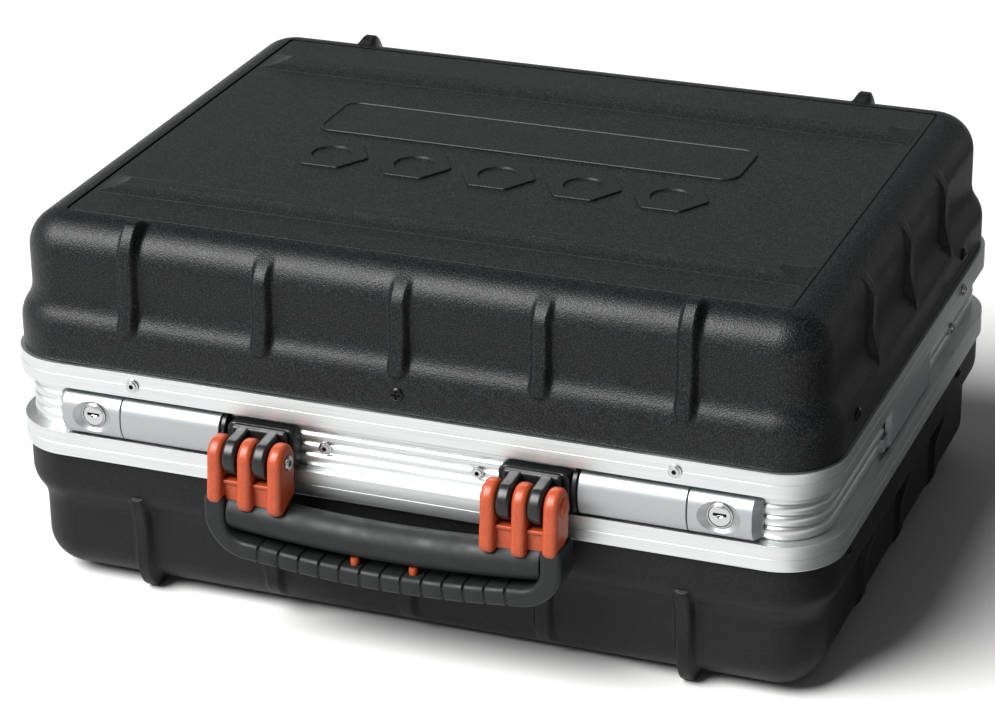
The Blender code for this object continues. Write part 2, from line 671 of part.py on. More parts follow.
def make_sockets(chrome, case):
    """Sockets stand in holes in a tray's floor, bolt end up. Returns the foam's holes and the tray."""
    holes = []
    top = SOCKET_BOTTOM + SOCKET_HEIGHT
    middle = SOCKET_BOTTOM + SOCKET_HEIGHT / 2
    for index, size in enumerate(SOCKET_SIZES):
        place = (SOCKET_X + index * SOCKET_PITCH, SOCKET_Y)
        radius = socket_radius(size)
        drive = SQUARE_DRIVE / 2
        square = box((place[0] - drive, place[1] - drive, SOCKET_BOTTOM - 1),
                     (place[0] + drive, place[1] + drive, middle + 1))
        nut = prism(hexagon(place, size / 2 * HEXAGON_CORNER), "Z", middle, top + 1)
        body = cylinder(place, radius, "Z", SOCKET_BOTTOM, top, 20)
        solid(f"socket_{size}mm", body, chrome, case, cut=[[square], [nut]])
        holes.append(cylinder(place, radius + 0.6, "Z", SOCKET_BOTTOM - 0.6, TRAY_FLOOR + 5, 20))
    low = (-TRAY_HALF[0], SOCKET_Y - TRAY_HALF[1], TRAY_FLOOR)
    return [holes, [box(low, (TRAY_HALF[0], SOCKET_Y + TRAY_HALF[1], FOAM_TOP + 5))]]


def make_ratchet(chrome, dark, case):
    """Ratchet handle lying along X. Returns the pocket's shapes, each its own cut."""
    place = (RATCHET_X, 0.0)
    low, high = RATCHET_Z - RATCHET_HALF_HEIGHT, RATCHET_Z + RATCHET_HALF_HEIGHT
    head = cylinder(place, RATCHET_HEAD_RADIUS, "Z", low, high, 24)
    neck, grip = RATCHET_X + 30, RATCHET_END - 10
    rings = []
    for x, radius in ((RATCHET_X + 12, 6), (neck, 6), (0, 7), (20, 9.5), (grip, 10.5), (RATCHET_END, 8)):
        rings.append([(x, y, z) for y, z in arc((0.0, RATCHET_Z), (radius, radius), 0, 330, 11)])
    bore = cylinder(place, RATCHET_BORE_RADIUS, "Z", low - 1, high + 1, 24)
    solid("ratchet_body", head, chrome, case, add=[[loft(rings)]], cut=[[bore]])

    spin = pivot_empty("anvil_pivot", case, (*place, RATCHET_Z))
    drive = SQUARE_DRIVE / 2
    square = box((place[0] - drive, -drive, low - 12), (place[0] + drive, drive, low + 2))
    hub = cylinder(place, RATCHET_BORE_RADIUS - 0.4, "Z", low, high, 24)
    solid("ratchet_anvil", hub, chrome, spin, add=[[square]])

    flick = pivot_empty("selector_pivot", case, (*place, high))
    tab = box((place[0] - 2.5, 4, high + 0.4), (place[0] + 2.5, 15, high + 4.4))
    disc = cylinder(place, 8.5, "Z", high + 0.4, high + 2.6, 20)
    solid("ratchet_selector", disc, dark, flick, add=[[tab]])
    return [
        [cylinder(place, RATCHET_HEAD_RADIUS + 1, "Z", low - 0.6, FOAM_TOP + 5, 24)],
        [box((RATCHET_X, -12, RATCHET_Z - 11), (RATCHET_END + 2, 12, FOAM_TOP + 5))],
        [cylinder(place, 10.0, "Z", low - 13, low + 1, 16)],
    ]


def make_extension(chrome, case):
    """Extension bar: a female end, a slim shaft and a square male end."""
    axis = (EXTENSION_Y, RATCHET_Z)
    drive = SQUARE_DRIVE / 2
    shaft = cylinder(axis, 6.2, "X", -EXTENSION_HALF + 10, EXTENSION_HALF - 8, 16)
    female = cylinder(axis, 11.0, "X", -EXTENSION_HALF, -EXTENSION_HALF + 30, 16)
    male = box((EXTENSION_HALF - 14, axis[0] - drive, axis[1] - drive),
               (EXTENSION_HALF, axis[0] + drive, axis[1] + drive))
    socket = box((-EXTENSION_HALF - 1, axis[0] - drive, axis[1] - drive),
                 (-EXTENSION_HALF + 14, axis[0] + drive, axis[1] + drive))
    solid("extension_bar", shaft, chrome, case, add=[[female], [male]], cut=[[socket]])
    low = (-EXTENSION_HALF - 2, EXTENSION_Y - 13, RATCHET_Z - 11.6)
    return [[box(low, (EXTENSION_HALF + 2, EXTENSION_Y + 13, FOAM_TOP + 5))]]


def make_interior(foam, chrome, dark, case, lid):
    profile = [(32, 7.6), (20, 13.0), (13.5, 27.0), (13.5, FOAM_TOP)]
    block = loft([case_ring(*point) for point in profile])
    cuts = make_sockets(chrome, case)
    cuts += make_ratchet(chrome, dark, case)
    cuts += make_extension(chrome, case)
    solid("tool_foam", block, foam, case, cut=cuts)
    pad = [[(x, y, level) for x, y in rounded_rectangle(205, 148, 12)] for level in (192.0, CEILING - 0.3)]
    solid("lid_pad", loft(pad), foam, lid)


def main():
    for item in list(bpy.data.objects):
        bpy.data.objects.remove(item)
    lid_plastic = finish("black_textured_plastic", (0.15, 0.15, 0.155), 0.5)
    base_plastic = finish("black_grained_plastic", (0.18, 0.195, 0.19), 0.55)
    panel_plastic = finish("dark_grey_plastic", (0.21, 0.22, 0.225), 0.55)
    bare = finish("brushed_aluminium", (0.78, 0.80, 0.80), 0.3, 1.0)
    satin = finish("satin_silver", (0.74, 0.75, 0.76), 0.4, 0.9)
    gloss = finish("gloss_black_plastic", (0.09, 0.09, 0.09), 0.25)
    orange = finish("orange_plastic", (0.89, 0.40, 0.26), 0.45)
    rubber = finish("black_rubber", (0.18, 0.19, 0.19), 0.7)
    steel = finish("bright_steel", (0.75, 0.75, 0.75), 0.25, 1.0)
    chrome = finish("chrome_tool_steel", (0.82, 0.82, 0.83), 0.15, 1.0)
    foam = finish("charcoal_foam", (0.14, 0.14, 0.15), 0.9)

    case = pivot_empty("case", None, (0.0, CASE_FORWARD, 0.0))
    lid = pivot_empty("lid_pivot", case, (0.0, HINGE_Y, HINGE_Z))
    make_base_shell(base_plastic, case)
    make_lid_shell(lid_plastic, lid)
    make_lid_panel(panel_plastic, lid)
    make_base_frame(bare, case)
    make_lid_frame(bare, lid)
    make_seal(rubber, case)
    face = CASE_WIDTH / 2 - FLUTE_INSET + CLEARANCE
    plate = box((face, JOINT_PLATE_Y[0], 98.0), (face + 2.2, JOINT_PLATE_Y[1], 124.4))
    solid("frame_joint_plate", plate, satin, case)
    for side, word in ((-1, "left"), (1, "right")):
        make_latch(side, word, satin, gloss, steel, case)
        make_bracket(side, word, gloss, case)
        make_hinge(side, word, bare, steel, case, lid)
        make_stay(side, word, steel, case, lid)
        make_rivets(side, word, steel, case, lid)
    make_handle(orange, rubber, steel, case)
    make_interior(foam, chrome, gloss, case, lid)


if __name__ == "__main__":
    main()
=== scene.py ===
"""Looks of a hard-shell tool case with an aluminium frame, a folding handle and a socket wrench set inside.

Shapes are drawn in millimetres in the case's own place: x and y are 0 at the middle of the aluminium frame,
z is 0 under the feet, and the front faces -Y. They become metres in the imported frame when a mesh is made.
"""

import math

import bmesh
import bpy
from bpy.props import FloatProperty, FloatVectorProperty, PointerProperty
from mathutils import Matrix, Vector


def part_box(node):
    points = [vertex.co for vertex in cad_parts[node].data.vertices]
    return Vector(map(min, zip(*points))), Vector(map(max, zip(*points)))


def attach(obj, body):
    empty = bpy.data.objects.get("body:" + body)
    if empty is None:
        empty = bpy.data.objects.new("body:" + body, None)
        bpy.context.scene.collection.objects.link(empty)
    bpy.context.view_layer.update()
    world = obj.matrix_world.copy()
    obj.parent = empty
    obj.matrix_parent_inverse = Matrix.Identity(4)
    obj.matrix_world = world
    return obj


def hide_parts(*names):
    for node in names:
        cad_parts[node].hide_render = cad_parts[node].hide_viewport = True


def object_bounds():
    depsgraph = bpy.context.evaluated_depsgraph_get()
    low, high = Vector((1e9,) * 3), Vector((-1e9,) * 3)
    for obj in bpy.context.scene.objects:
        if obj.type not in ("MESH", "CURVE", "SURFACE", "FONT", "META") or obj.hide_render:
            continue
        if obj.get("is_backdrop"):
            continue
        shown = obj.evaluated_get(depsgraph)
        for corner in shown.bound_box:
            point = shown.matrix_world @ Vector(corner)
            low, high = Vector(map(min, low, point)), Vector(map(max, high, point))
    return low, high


bl_info = {
    "name": "Tool Case with Socket Wrench Set",
    "version": (1, 0, 0),
    "blender": (4, 5, 0),
    "location": "View3D > Sidebar > Tool Case",
    "description": "Builds the surfaces and materials of a hard-shell tool case and its socket wrench set",
    "category": "Object",
}

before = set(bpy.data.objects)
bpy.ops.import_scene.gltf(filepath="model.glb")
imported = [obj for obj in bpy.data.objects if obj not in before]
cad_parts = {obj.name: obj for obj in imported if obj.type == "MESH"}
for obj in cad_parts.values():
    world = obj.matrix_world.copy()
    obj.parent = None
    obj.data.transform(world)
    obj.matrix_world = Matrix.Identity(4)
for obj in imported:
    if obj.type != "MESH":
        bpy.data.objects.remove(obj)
CAD_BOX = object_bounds()

MM = 0.001
FRAME_LOW, FRAME_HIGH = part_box("base_frame")
CENTRE = Vector(((FRAME_LOW.x + FRAME_HIGH.x) / 2, (FRAME_LOW.y + FRAME_HIGH.y) / 2, 0.0))
HALF_WIDTH = (FRAME_HIGH.x - FRAME_LOW.x) / 2 / MM
HALF_DEPTH = (FRAME_HIGH.y - FRAME_LOW.y) / 2 / MM


def span(node):
    """A CAD node's lowest and highest corners in millimetres in the case's own place."""
    return [(corner - CENTRE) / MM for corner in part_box(node)]


def linear(code):
    """An sRGB hex colour as linear red, green and blue."""
    channels = [int(code[i : i + 2], 16) / 255 for i in (1, 3, 5)]
    return [c / 12.92 if c <= 0.04045 else ((c + 0.055) / 1.055) ** 2.4 for c in channels]


# The moulded shells: levels, and insets inwards from the frame's face. The base is the lid turned over,
# so a level on it is MIRROR_SUM less the lid's.
MIRROR_SUM = 222.3
CORNER = 35.0
CORNER_STEPS = 14
FLANGE_INSET = 2.5
RIM = 139.8
SWEEP_LOW = 156.0
SWEEP_HIGH = 178.0
BODY_INSET = 9.5
SWEEP_ACROSS = BODY_INSET - FLANGE_INSET
SWEEP_RADIUS = (SWEEP_ACROSS**2 + (SWEEP_HIGH - SWEEP_LOW) ** 2) / (4 * SWEEP_ACROSS)
SPRING = 198.0
TOP_ROUND = 21.0
TOP_CENTRE = BODY_INSET + TOP_ROUND
LID_TOP = 219.0
LUG_TOP = 222.3
CEILING = 215.0
WALL = 3.0
RIB_PLACES = (-160.0, -80.0, 0.0, 80.0, 160.0)
SIDE_RIB_PLACES = (-78.0, 0.0, 78.0)
RIB_FOOT_INSET = 1.3
RIB_INSET = 4.9
SIDE_RIB_INSET = 7.1
RIB_END = 161.4
CLEAR_OF_RIBS = (20.0, "plain")

# The lid panel, and the ridges, badge and hexagons on it.
PANEL_INSET = 32.0
PANEL_FLOOR = 217.2
PANEL_TOP = 218.8
RIDGE_LINE = 108.5
RIDGE_HALF = (205.0, 13.5)
RIDGE_HIP = 15.0
BADGE_LINE = 32.8
BADGE_HALF = (128.7, 25.2)
NUT_LINE = -27.0
NUT_PLACES = [step * 51.04 for step in (-2, -1, 0, 1, 2)]
NUT_REACH = 19.2

# The aluminium frames' levels.
LID_BAND = (125.2, 139.5)
BASE_BAND_TOP = 97.6
FRAME_LEG = FLANGE_INSET + WALL + 0.3
REED_INSET = 6.0

# The handle: its pin and bar seen from the side as (y, z), its loop, and the bow of both.
PIN = (-198.5, 109.5)
PIN_RADIUS = 3.0
PIN_BORE = PIN_RADIUS + 0.2
BAR_LINE = (-199.0, 72.0)
BAR_BOW = 5.0
LOOP_LINE = -199.2
LOOP_HALF = 97.2
LOOP_LOW = 52.5
LOOP_BOW = 6.5
LOOP_TURN = 18.7
BOW_SPAN = 90.0
LINK_PLACE = 79.0
PRONG_PITCH = 17.75
PRONG_RADIUS = 10.5
PRONG_FOOT = 81.5

SIDES = ((-1, "left"), (1, "right"))

# The tools: half of their half-inch squares, and how far the ratchet's head is from its end.
SOCKET_SIZES = (24, 22, 21, 19, 17, 16, 14, 13)
HALF_SQUARE = 6.35
HALF_HOLE = 6.4
RATCHET_HEAD = 17.0


# ---------------------------------------------------------------- outlines and solids


def arc(centre, radii, start, end, steps):
    """Points along an ellipse from one angle to another, in degrees."""
    wide, high = radii if isinstance(radii, tuple) else (radii, radii)
    turns = [math.radians(start + (end - start) * step / steps) for step in range(steps + 1)]
    return [(centre[0] + wide * math.cos(turn), centre[1] + high * math.sin(turn)) for turn in turns]


def circle(centre, radius, sides):
    return arc(centre, radius, 0, 360 - 360 / sides, sides - 1)


def smooth(share):
    """Eases from 0 to 1 with no corner at either end."""
    share = min(max(share, 0.0), 1.0)
    return share * share * (3 - 2 * share)


def rounded_rectangle(half_x, half_y, radius, steps=6, middle=(0.0, 0.0)):
    points = []
    for quarter, (side_x, side_y) in enumerate(((1, 1), (-1, 1), (-1, -1), (1, -1))):
        centre = (side_x * (half_x - radius), side_y * (half_y - radius))
        points += arc(centre, radius, 90 * quarter, 90 * quarter + 90, steps)
    return [(x + middle[0], y + middle[1]) for x, y in points]


def case_ring(inset, level):
    """The case's outline at one level, drawn in from the frame's face by inset."""
    radius = max(CORNER - inset, 3.0)
    outline = rounded_rectangle(HALF_WIDTH - inset, HALF_DEPTH - inset, radius, CORNER_STEPS)
    return [(x, y, level) for x, y in outline]


def loft(rings, closed=False):
    """Skin through a stack of outlines: capped at both ends, or joined back to its start."""
    shape = bmesh.new()
    rows = [[shape.verts.new(point) for point in ring] for ring in rings]
    following = rows[1:] + rows[:1] if closed else rows[1:]
    for low, high in zip(rows, following):
        for i, corner in enumerate(low):
            j = (i + 1) % len(low)
            shape.faces.new((corner, low[j], high[j], high[i]))
    if not closed:
        shape.faces.new(rows[0][::-1])
        shape.faces.new(rows[-1])
    bmesh.ops.recalc_face_normals(shape, faces=shape.faces)
    return shape


def case_loft(profile, closed=True):
    """A profile of (inset, level) points run round the case."""
    return loft([case_ring(inset, level) for inset, level in profile], closed)


PLACERS = {
    "X": lambda level, a, b: (level, a, b),
    "Y": lambda level, a, b: (a, level, b),
    "Z": lambda level, a, b: (a, b, level),
}


def prism(outline, along, low, high):
    """An outline in the two other axes, in X, Y, Z order, pushed along one axis."""
    place = PLACERS[along]
    return loft([[place(level, a, b) for a, b in outline] for level in (low, high)])


def turned(centre, along, profile, sides=40):
    """A round piece about an axis, from (radius, level) points in order."""
    place = PLACERS[along]
    rings = []
    for radius, level in profile:
        rings.append([place(level, a, b) for a, b in circle(centre, radius, sides)])
    return loft(rings)


def bore(centre, along, radius, low, high, sides=24):
    """A plain round hole's shape, to cut with."""
    return turned(centre, along, [(radius, low), (radius, high)], sides)


def eased_rod(centre, along, radius, low, high, ease=0.3, sides=32):
    """A round bar with its ends eased."""
    profile = [(radius - ease, low), (radius, low + ease), (radius, high - ease), (radius - ease, high)]
    return turned(centre, along, profile, sides)


def domed(centre, along, face, side, steps, sides=32):
    """A round head on a face, from (radius, how far it stands proud) steps. Side is the way it looks."""
    return turned(centre, along, [(radius, face + side * proud) for radius, proud in steps], sides)


def axis_of(node, along):
    """Where a CAD node's middle line runs, in the two axes across it."""
    low, high = span(node)
    across = {"X": "yz", "Y": "xz", "Z": "xy"}[along]
    return tuple((getattr(low, axis) + getattr(high, axis)) / 2 for axis in across)


def box(low, high):
    corners = [(low[0], low[1]), (high[0], low[1]), (high[0], high[1]), (low[0], high[1])]
    return prism(corners, "Z", low[2], high[2])


def beam(centre, along, half_a, half_b, low, high):
    """A square or flat bar about an axis."""
    corners = ((-1, -1), (1, -1), (1, 1), (-1, 1))
    outline = [(centre[0] + a * half_a, centre[1] + b * half_b) for a, b in corners]
    return prism(outline, along, low, high)


def soften(shape, width, segments=2, angle=30.0):
    """Rounds every edge sharper than the angle."""
    limit = math.radians(angle)
    edges = [e for e in shape.edges if e.is_manifold and e.calc_face_angle(0.0) > limit]
    settings = {"profile": 0.5, "affect": "EDGES", "clamp_overlap": True}
    bmesh.ops.bevel(shape, geom=edges, offset=width, segments=segments, **settings)
    bmesh.ops.recalc_face_normals(shape, faces=shape.faces)
    return shape


def bare_object(name, shape):
    mesh = bpy.data.meshes.new(name)
    shape.transform(Matrix.Translation(CENTRE) @ Matrix.Scale(MM, 4))
    shape.to_mesh(mesh)
    shape.free()
    made = bpy.data.objects.new(name, mesh)
    bpy.context.scene.collection.objects.link(made)
    return made


def carve(made, shapes, operation, painted_shade_lining=None):
    """Joins shapes to an object or cuts them from it in turn. A lining is the cut faces' material: a dark
    finish painted inside holes as shade.
    """
    helpers = []
    for shape in shapes:
        helper = bare_object("helper", shape)
        if painted_shade_lining:
            helper.data.materials.append(painted_shade_lining)
        modifier = made.modifiers.new("step", "BOOLEAN")
        modifier.operation = operation
        modifier.object = helper
        modifier.solver = "EXACT"
        modifier.material_mode = "TRANSFER" if painted_shade_lining else "INDEX"
        helpers.append(helper)
    bpy.context.view_layer.update()
    result = bpy.data.meshes.new_from_object(made.evaluated_get(bpy.context.evaluated_depsgraph_get()))
    made.modifiers.clear()
    made.data = result
    for helper in helpers:
        bpy.data.objects.remove(helper)


def put(name, shape, slot, body, node=None, add=(), cut=(), painted_shade_lining=None, edge=0.0, sharp=38.0):
    """One finished piece: its shape, material, body and the CAD node that it stands for."""
    material = finish_for(slot)
    made = bare_object(name, shape)
    made.data.materials.append(material)
    if add:
        carve(made, add, "UNION")
    if cut:
        carve(made, cut, "DIFFERENCE", painted_shade_lining)
    if edge:
        work = bmesh.new()
        work.from_mesh(made.data)
        bmesh.ops.remove_doubles(work, verts=work.verts, dist=0.00001)
        bmesh.ops.dissolve_limit(work, angle_limit=0.01, verts=work.verts, edges=work.edges)
        soften(work, edge * MM)
        work.to_mesh(made.data)
        work.free()
    made.data.shade_smooth()
    made.data.set_sharp_from_angle(angle=math.radians(sharp))
    made.modifiers.new("even_normals", "WEIGHTED_NORMAL").keep_sharp = True
    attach(made, body)
    # The record has no slot of its own for the screws: they count as black fittings.
    if node:
        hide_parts(node)
    return made


# ---------------------------------------------------------------- materials


def add_node(tree, kind, settings=None, links=None):
    """One shader node with its settings and links: names with a capital letter are its inputs."""
    node = tree.nodes.new("ShaderNode" + kind)
    for name, value in (settings or {}).items():
        if name[0].isupper():
            node.inputs[name].default_value = value
        else:
            setattr(node, name, value)
    for name, source in (links or {}).items():
        tree.links.new(source, node.inputs[name])
    return node


def surface(name, colour, roughness, metallic=0.0, **sockets):
    """A material with its shader's plain values set; returns it with its tree and shader."""
    material = bpy.data.materials.new(name)
    material.use_nodes = True
    shader = material.node_tree.nodes["Principled BSDF"]
    values = {"Base Color": (*colour, 1.0), "Roughness": roughness, "Metallic": metallic}
    values.update(sockets)
    for socket, value in values.items():
        shader.inputs[socket].default_value = value
    material.diffuse_color = (*colour, 1.0)
    return material, material.node_tree, shader


def noise(tree, size, stretch=(1.0, 1.0, 1.0), detail=2.0):
    """Soft random pattern with spots size millimetres across, drawn out along an axis by stretch."""
    place = add_node(tree, "TexCoord")
    scale = [1 / (size * MM * pull) for pull in stretch]
    mapping = add_node(tree, "Mapping", {"Scale": scale}, {"Vector": place.outputs["Object"]})
    settings = {"Scale": 1.0, "Detail": detail, "Roughness": 0.55}
    return add_node(tree, "TexNoise", settings, {"Vector": mapping.outputs["Vector"]}).outputs["Fac"]


def spread(tree, source, low, high, start=0.35, end=0.65):
    """Turns a pattern's middle range into values from low to high."""
    settings = {"From Min": start, "From Max": end, "To Min": low, "To Max": high}
    return add_node(tree, "MapRange", settings, {"Value": source}).outputs["Result"]


def tint(tree, shader, source, dark, light, start=0.35, end=0.65):
    """Varies the base colour between two colours by a pattern."""
    factor = spread(tree, source, 0.0, 1.0, start, end)
    mix = add_node(tree, "Mix", {"data_type": "RGBA"}, {"Factor": factor})
    mix.inputs[6].default_value = (*dark, 1.0)
    mix.inputs[7].default_value = (*light, 1.0)
    tree.links.new(mix.outputs[2], shader.inputs["Base Color"])


def dull(tree, shader, source, low, high):
    """Varies the roughness between two values by a pattern."""
    tree.links.new(spread(tree, source, low, high), shader.inputs["Roughness"])


def relief(tree, shader, source, depth, strength=1.0):
    """Raises the surface by a pattern, depth millimetres at most."""
    settings = {"Strength": strength, "Distance": depth * MM}
    bump = add_node(tree, "Bump", settings, {"Height": source})
    tree.links.new(bump.outputs["Normal"], shader.inputs["Normal"])


def scaled(colour, share):
    return [channel * share for channel in colour]


def moulded_grain(name, colour, size, depth, roughness, glint_contrast):
    """ABS moulded in an etched tool: small round pips break the light into speckles, and the raised pips
    are painted lighter as glints.

    Real pips are about 0.3 mm wide, which is too fine to show, so size draws them coarser.
    """
    plastic = {"IOR": 1.54, "Specular IOR Level": 0.2}
    material, tree, shader = surface(name, colour, roughness, **plastic)
    pips = noise(tree, size, detail=1.0)
    relief(tree, shader, pips, depth)
    # Painted glints: the raised pips are painted up to this many times lighter than the colour, standing in
    # for grain catching the light; the low ones are the grain's darker tone.
    tint(tree, shader, pips, scaled(colour, 0.5), scaled(colour, glint_contrast), 0.46, 0.66)
    patches = spread(tree, noise(tree, 18.0), roughness - 0.02, roughness + 0.01)
    gloss = add_node(tree, "Math", {"operation": "MULTIPLY_ADD"}, {"Value": pips})
    gloss.inputs[1].default_value = -0.12 * math.log(glint_contrast)
    tree.links.new(patches, gloss.inputs[2])
    tree.links.new(gloss.outputs[0], shader.inputs["Roughness"])
    return material


def lid_abs(colours, sizes):
    """The lid's etch is deep and its raised pips carry bright painted glints, so its rounded shoulder
    sparkles.
    """
    return moulded_grain("abs_etched_lid", colours.lid, sizes.grain / MM, 0.24, 0.5, 5.0)


def base_abs(colours, sizes):
    """The base's etch is shallower, so its walls look evenly matt."""
    return moulded_grain("abs_etched_base", colours.base, sizes.grain / MM, 0.08, 0.55, 1.8)


def panel_abs(colours, sizes):
    """The panel's etch is the shallowest, so it looks smoother and greyer than the shells."""
    return moulded_grain("abs_fine_etched_panel", colours.panel, sizes.grain / MM, 0.07, 0.46, 1.7)


def brushed_aluminium(colours, sizes):
    """Extruded aluminium, brushed lengthwise: fine level lines round the case pull its highlights out."""
    colour = colours.aluminium
    material, tree, shader = surface("aluminium_brushed", colour, 0.3, 1.0)
    # Real brush lines are about 0.1 mm apart; they are drawn 0.4 mm apart so that they show.
    lines = noise(tree, 0.4, (110.0, 110.0, 1.0), 3.0)
    relief(tree, shader, lines, 0.012, 0.7)
    dull(tree, shader, lines, 0.33, 0.45)
    tint(tree, shader, noise(tree, 0.8, (70.0, 70.0, 1.0)), scaled(colour, 0.9), colour)
    return material


def satin_zinc(colours, sizes):
    """Zinc die casting under satin silver lacquer: metal flakes give a soft, slightly grainy sheen."""
    material, tree, shader = surface("zinc_satin_lacquered", colours.satin, 0.36, 0.85)
    flakes = noise(tree, 0.7)
    relief(tree, shader, flakes, 0.02, 0.6)
    dull(tree, shader, flakes, 0.38, 0.48)
    return material


def gloss_nylon(colours, sizes):
    """Black nylon from a finely ground tool: soft clear highlights with a faint flow pattern."""
    plastic = {"IOR": 1.53, "Specular IOR Level": 0.35}
    material, tree, shader = surface("nylon_satin_black", colours.black, 0.34, **plastic)
    dull(tree, shader, noise(tree, 9.0), 0.3, 0.4)
    relief(tree, shader, noise(tree, 3.0), 0.05, 0.3)
    return material


def orange_nylon(colours, sizes):
    """Glass-filled orange nylon: matt, with fibres that mottle its colour."""
    colour = colours.orange
    material, tree, shader = surface("nylon_glass_filled_orange", colour, 0.45, **{"IOR": 1.53})
    tint(tree, shader, noise(tree, 1.4, detail=3.0), scaled(colour, 0.84), scaled(colour, 1.12))
    relief(tree, shader, noise(tree, 0.9), 0.08, 0.5)
    shader.inputs["Subsurface Weight"].default_value = 0.06
    shader.inputs["Subsurface Radius"].default_value = (0.002, 0.0008, 0.0004)
    return material


def soft_rubber(colours, sizes):
    """Thermoplastic rubber: a dull, faintly dusty black with a broad soft sheen."""
    colour = colours.rubber
    plastic = {"IOR": 1.5, "Specular IOR Level": 0.3}
    material, tree, shader = surface("rubber_moulded_soft", colour, 0.55, **plastic)
    tint(tree, shader, noise(tree, 5.0, detail=4.0), scaled(colour, 0.85), scaled(colour, 1.15))
    relief(tree, shader, noise(tree, 0.8), 0.05, 0.5)
    dull(tree, shader, noise(tree, 12.0), 0.48, 0.62)
    return material


def plated_steel(colours, sizes):
    """Zinc-plated steel: bright, with faint turning lines and spots."""
    material, tree, shader = surface("steel_zinc_plated", colours.steel, 0.26, 1.0)
    dull(tree, shader, noise(tree, 1.2), 0.2, 0.34)
    relief(tree, shader, noise(tree, 0.6), 0.02, 0.5)
    return material


def chrome_vanadium(colours, sizes):
    """Chrome-vanadium tool steel, mirror plated over a satin ground."""
    material, tree, shader = surface("steel_chrome_vanadium_plated", colours.chrome, 0.14, 1.0)
    dull(tree, shader, noise(tree, 2.5), 0.1, 0.2)
    relief(tree, shader, noise(tree, 0.8), 0.01, 0.4)
    return material


def cut_foam(colours, sizes):
    """Closed-cell polyethylene foam, die cut: matt black with small open cells, painted darker in their
    hollows as shade and lighter on their tops.
    """
    material, tree, shader = surface("foam_closed_cell", colours.foam, 0.9, **{"IOR": 1.45})
    cells = noise(tree, 1.1)
    relief(tree, shader, cells, 0.5, 0.8)
    # Painted shade and light: the colour follows the cells' relief, darker in the hollows and lighter on
    # the tops.
    tint(tree, shader, cells, scaled(colours.foam, 0.6), scaled(colours.foam, 1.5))
    return material


def black_oxide(colours, sizes):
    """Black-oxide steel screws: near black with a dull metal glint."""
    material, tree, shader = surface("steel_black_oxide", colours.black, 0.3, 0.6)
    dull(tree, shader, noise(tree, 0.8), 0.24, 0.38)
    return material


FINISHES = {
    "lid_plastic": lid_abs,
    "base_plastic": base_abs,
    "panel_plastic": panel_abs,
    "aluminium": brushed_aluminium,
    "satin_metal": satin_zinc,
    "gloss_black": gloss_nylon,
    "orange_plastic": orange_nylon,
    "rubber": soft_rubber,
    "steel": plated_steel,
    "chrome_tools": chrome_vanadium,
    "foam": cut_foam,
    "black_screw": black_oxide,
}
made_finishes = {}


def finish_for(slot):
    """The material of a finish, made once."""
    if slot not in made_finishes:
        scene = bpy.context.scene
        made_finishes[slot] = FINISHES[slot](scene.case_colours, scene.case_sizes)
    return made_finishes[slot]


# ---------------------------------------------------------------- shells and panel


def rib_hold(distance, crest):
    """How fully a rib stands out at a distance from its middle line: 1 on its crest, 0 at its root."""
    return 1 - smooth((distance - crest / 2 + 1.1) / 3.9)


def side_stations(half_length, places, kinds):
    """Places along one straight side, close together at ribs, as (along, distance from its rib, kind)."""
    steps = (0.0, 1.5, 2.3, 2.8, 3.3, 3.8, 4.3, 4.8, 5.3, 5.9, 6.6, 8.0)
    found = {-half_length: CLEAR_OF_RIBS, half_length: CLEAR_OF_RIBS}
    for place, kind in zip(places, kinds):
        for step in steps:
            for edge in (-1, 1):
                found[place + edge * step] = (step, kind)
    return [(along, *found[along]) for along in sorted(found)]


def shell_stations():
    """Stations round the case, counter-clockwise: base point, the way out, distance from a rib, kind."""
    flat_x = HALF_WIDTH - CORNER
    flat_y = HALF_DEPTH - CORNER
    wide = (side_stations(flat_x, RIB_PLACES, ("lug", "rib", "rib", "rib", "lug")), flat_y)
    deep = (side_stations(flat_y, SIDE_RIB_PLACES, ("side_rib",) * 3), flat_x)
    stations = []
    for turn, (places, away) in ((-90, wide), (0, deep), (90, wide), (180, deep)):
        out = Vector((math.cos(math.radians(turn)), math.sin(math.radians(turn))))
        along = Vector((-out.y, out.x))
        for step, distance, kind in places:
            stations.append((out * away + along * step, out, distance, kind))
        corner = out * away + along * places[-1][0]
        for step in range(1, CORNER_STEPS):
            angle = math.radians(turn + 90 * step / CORNER_STEPS)
            stations.append((corner, Vector((math.cos(angle), math.sin(angle))), *CLEAR_OF_RIBS))
    return stations


def sweep_line(steps=9):
    """The flange's sweep into the wall: two equal arcs that meet halfway, from the flange up."""
    turn = math.degrees(math.asin((SWEEP_HIGH - SWEEP_LOW) / 2 / SWEEP_RADIUS))
    low = arc((FLANGE_INSET + SWEEP_RADIUS, SWEEP_LOW), SWEEP_RADIUS, 180, 180 - turn, steps)
    return low + arc((BODY_INSET - SWEEP_RADIUS, SWEEP_HIGH), SWEEP_RADIUS, -turn, 0, steps)[1:]


def crest_line(level, inset):
    """A rib's crest leans out from the wall to the flange towards its foot."""
    foot = RIB_FOOT_INSET + (inset - RIB_INSET) * 0.6
    return foot + (inset - foot) * smooth((level - RIB_END) / (SWEEP_HIGH + 6 - RIB_END))


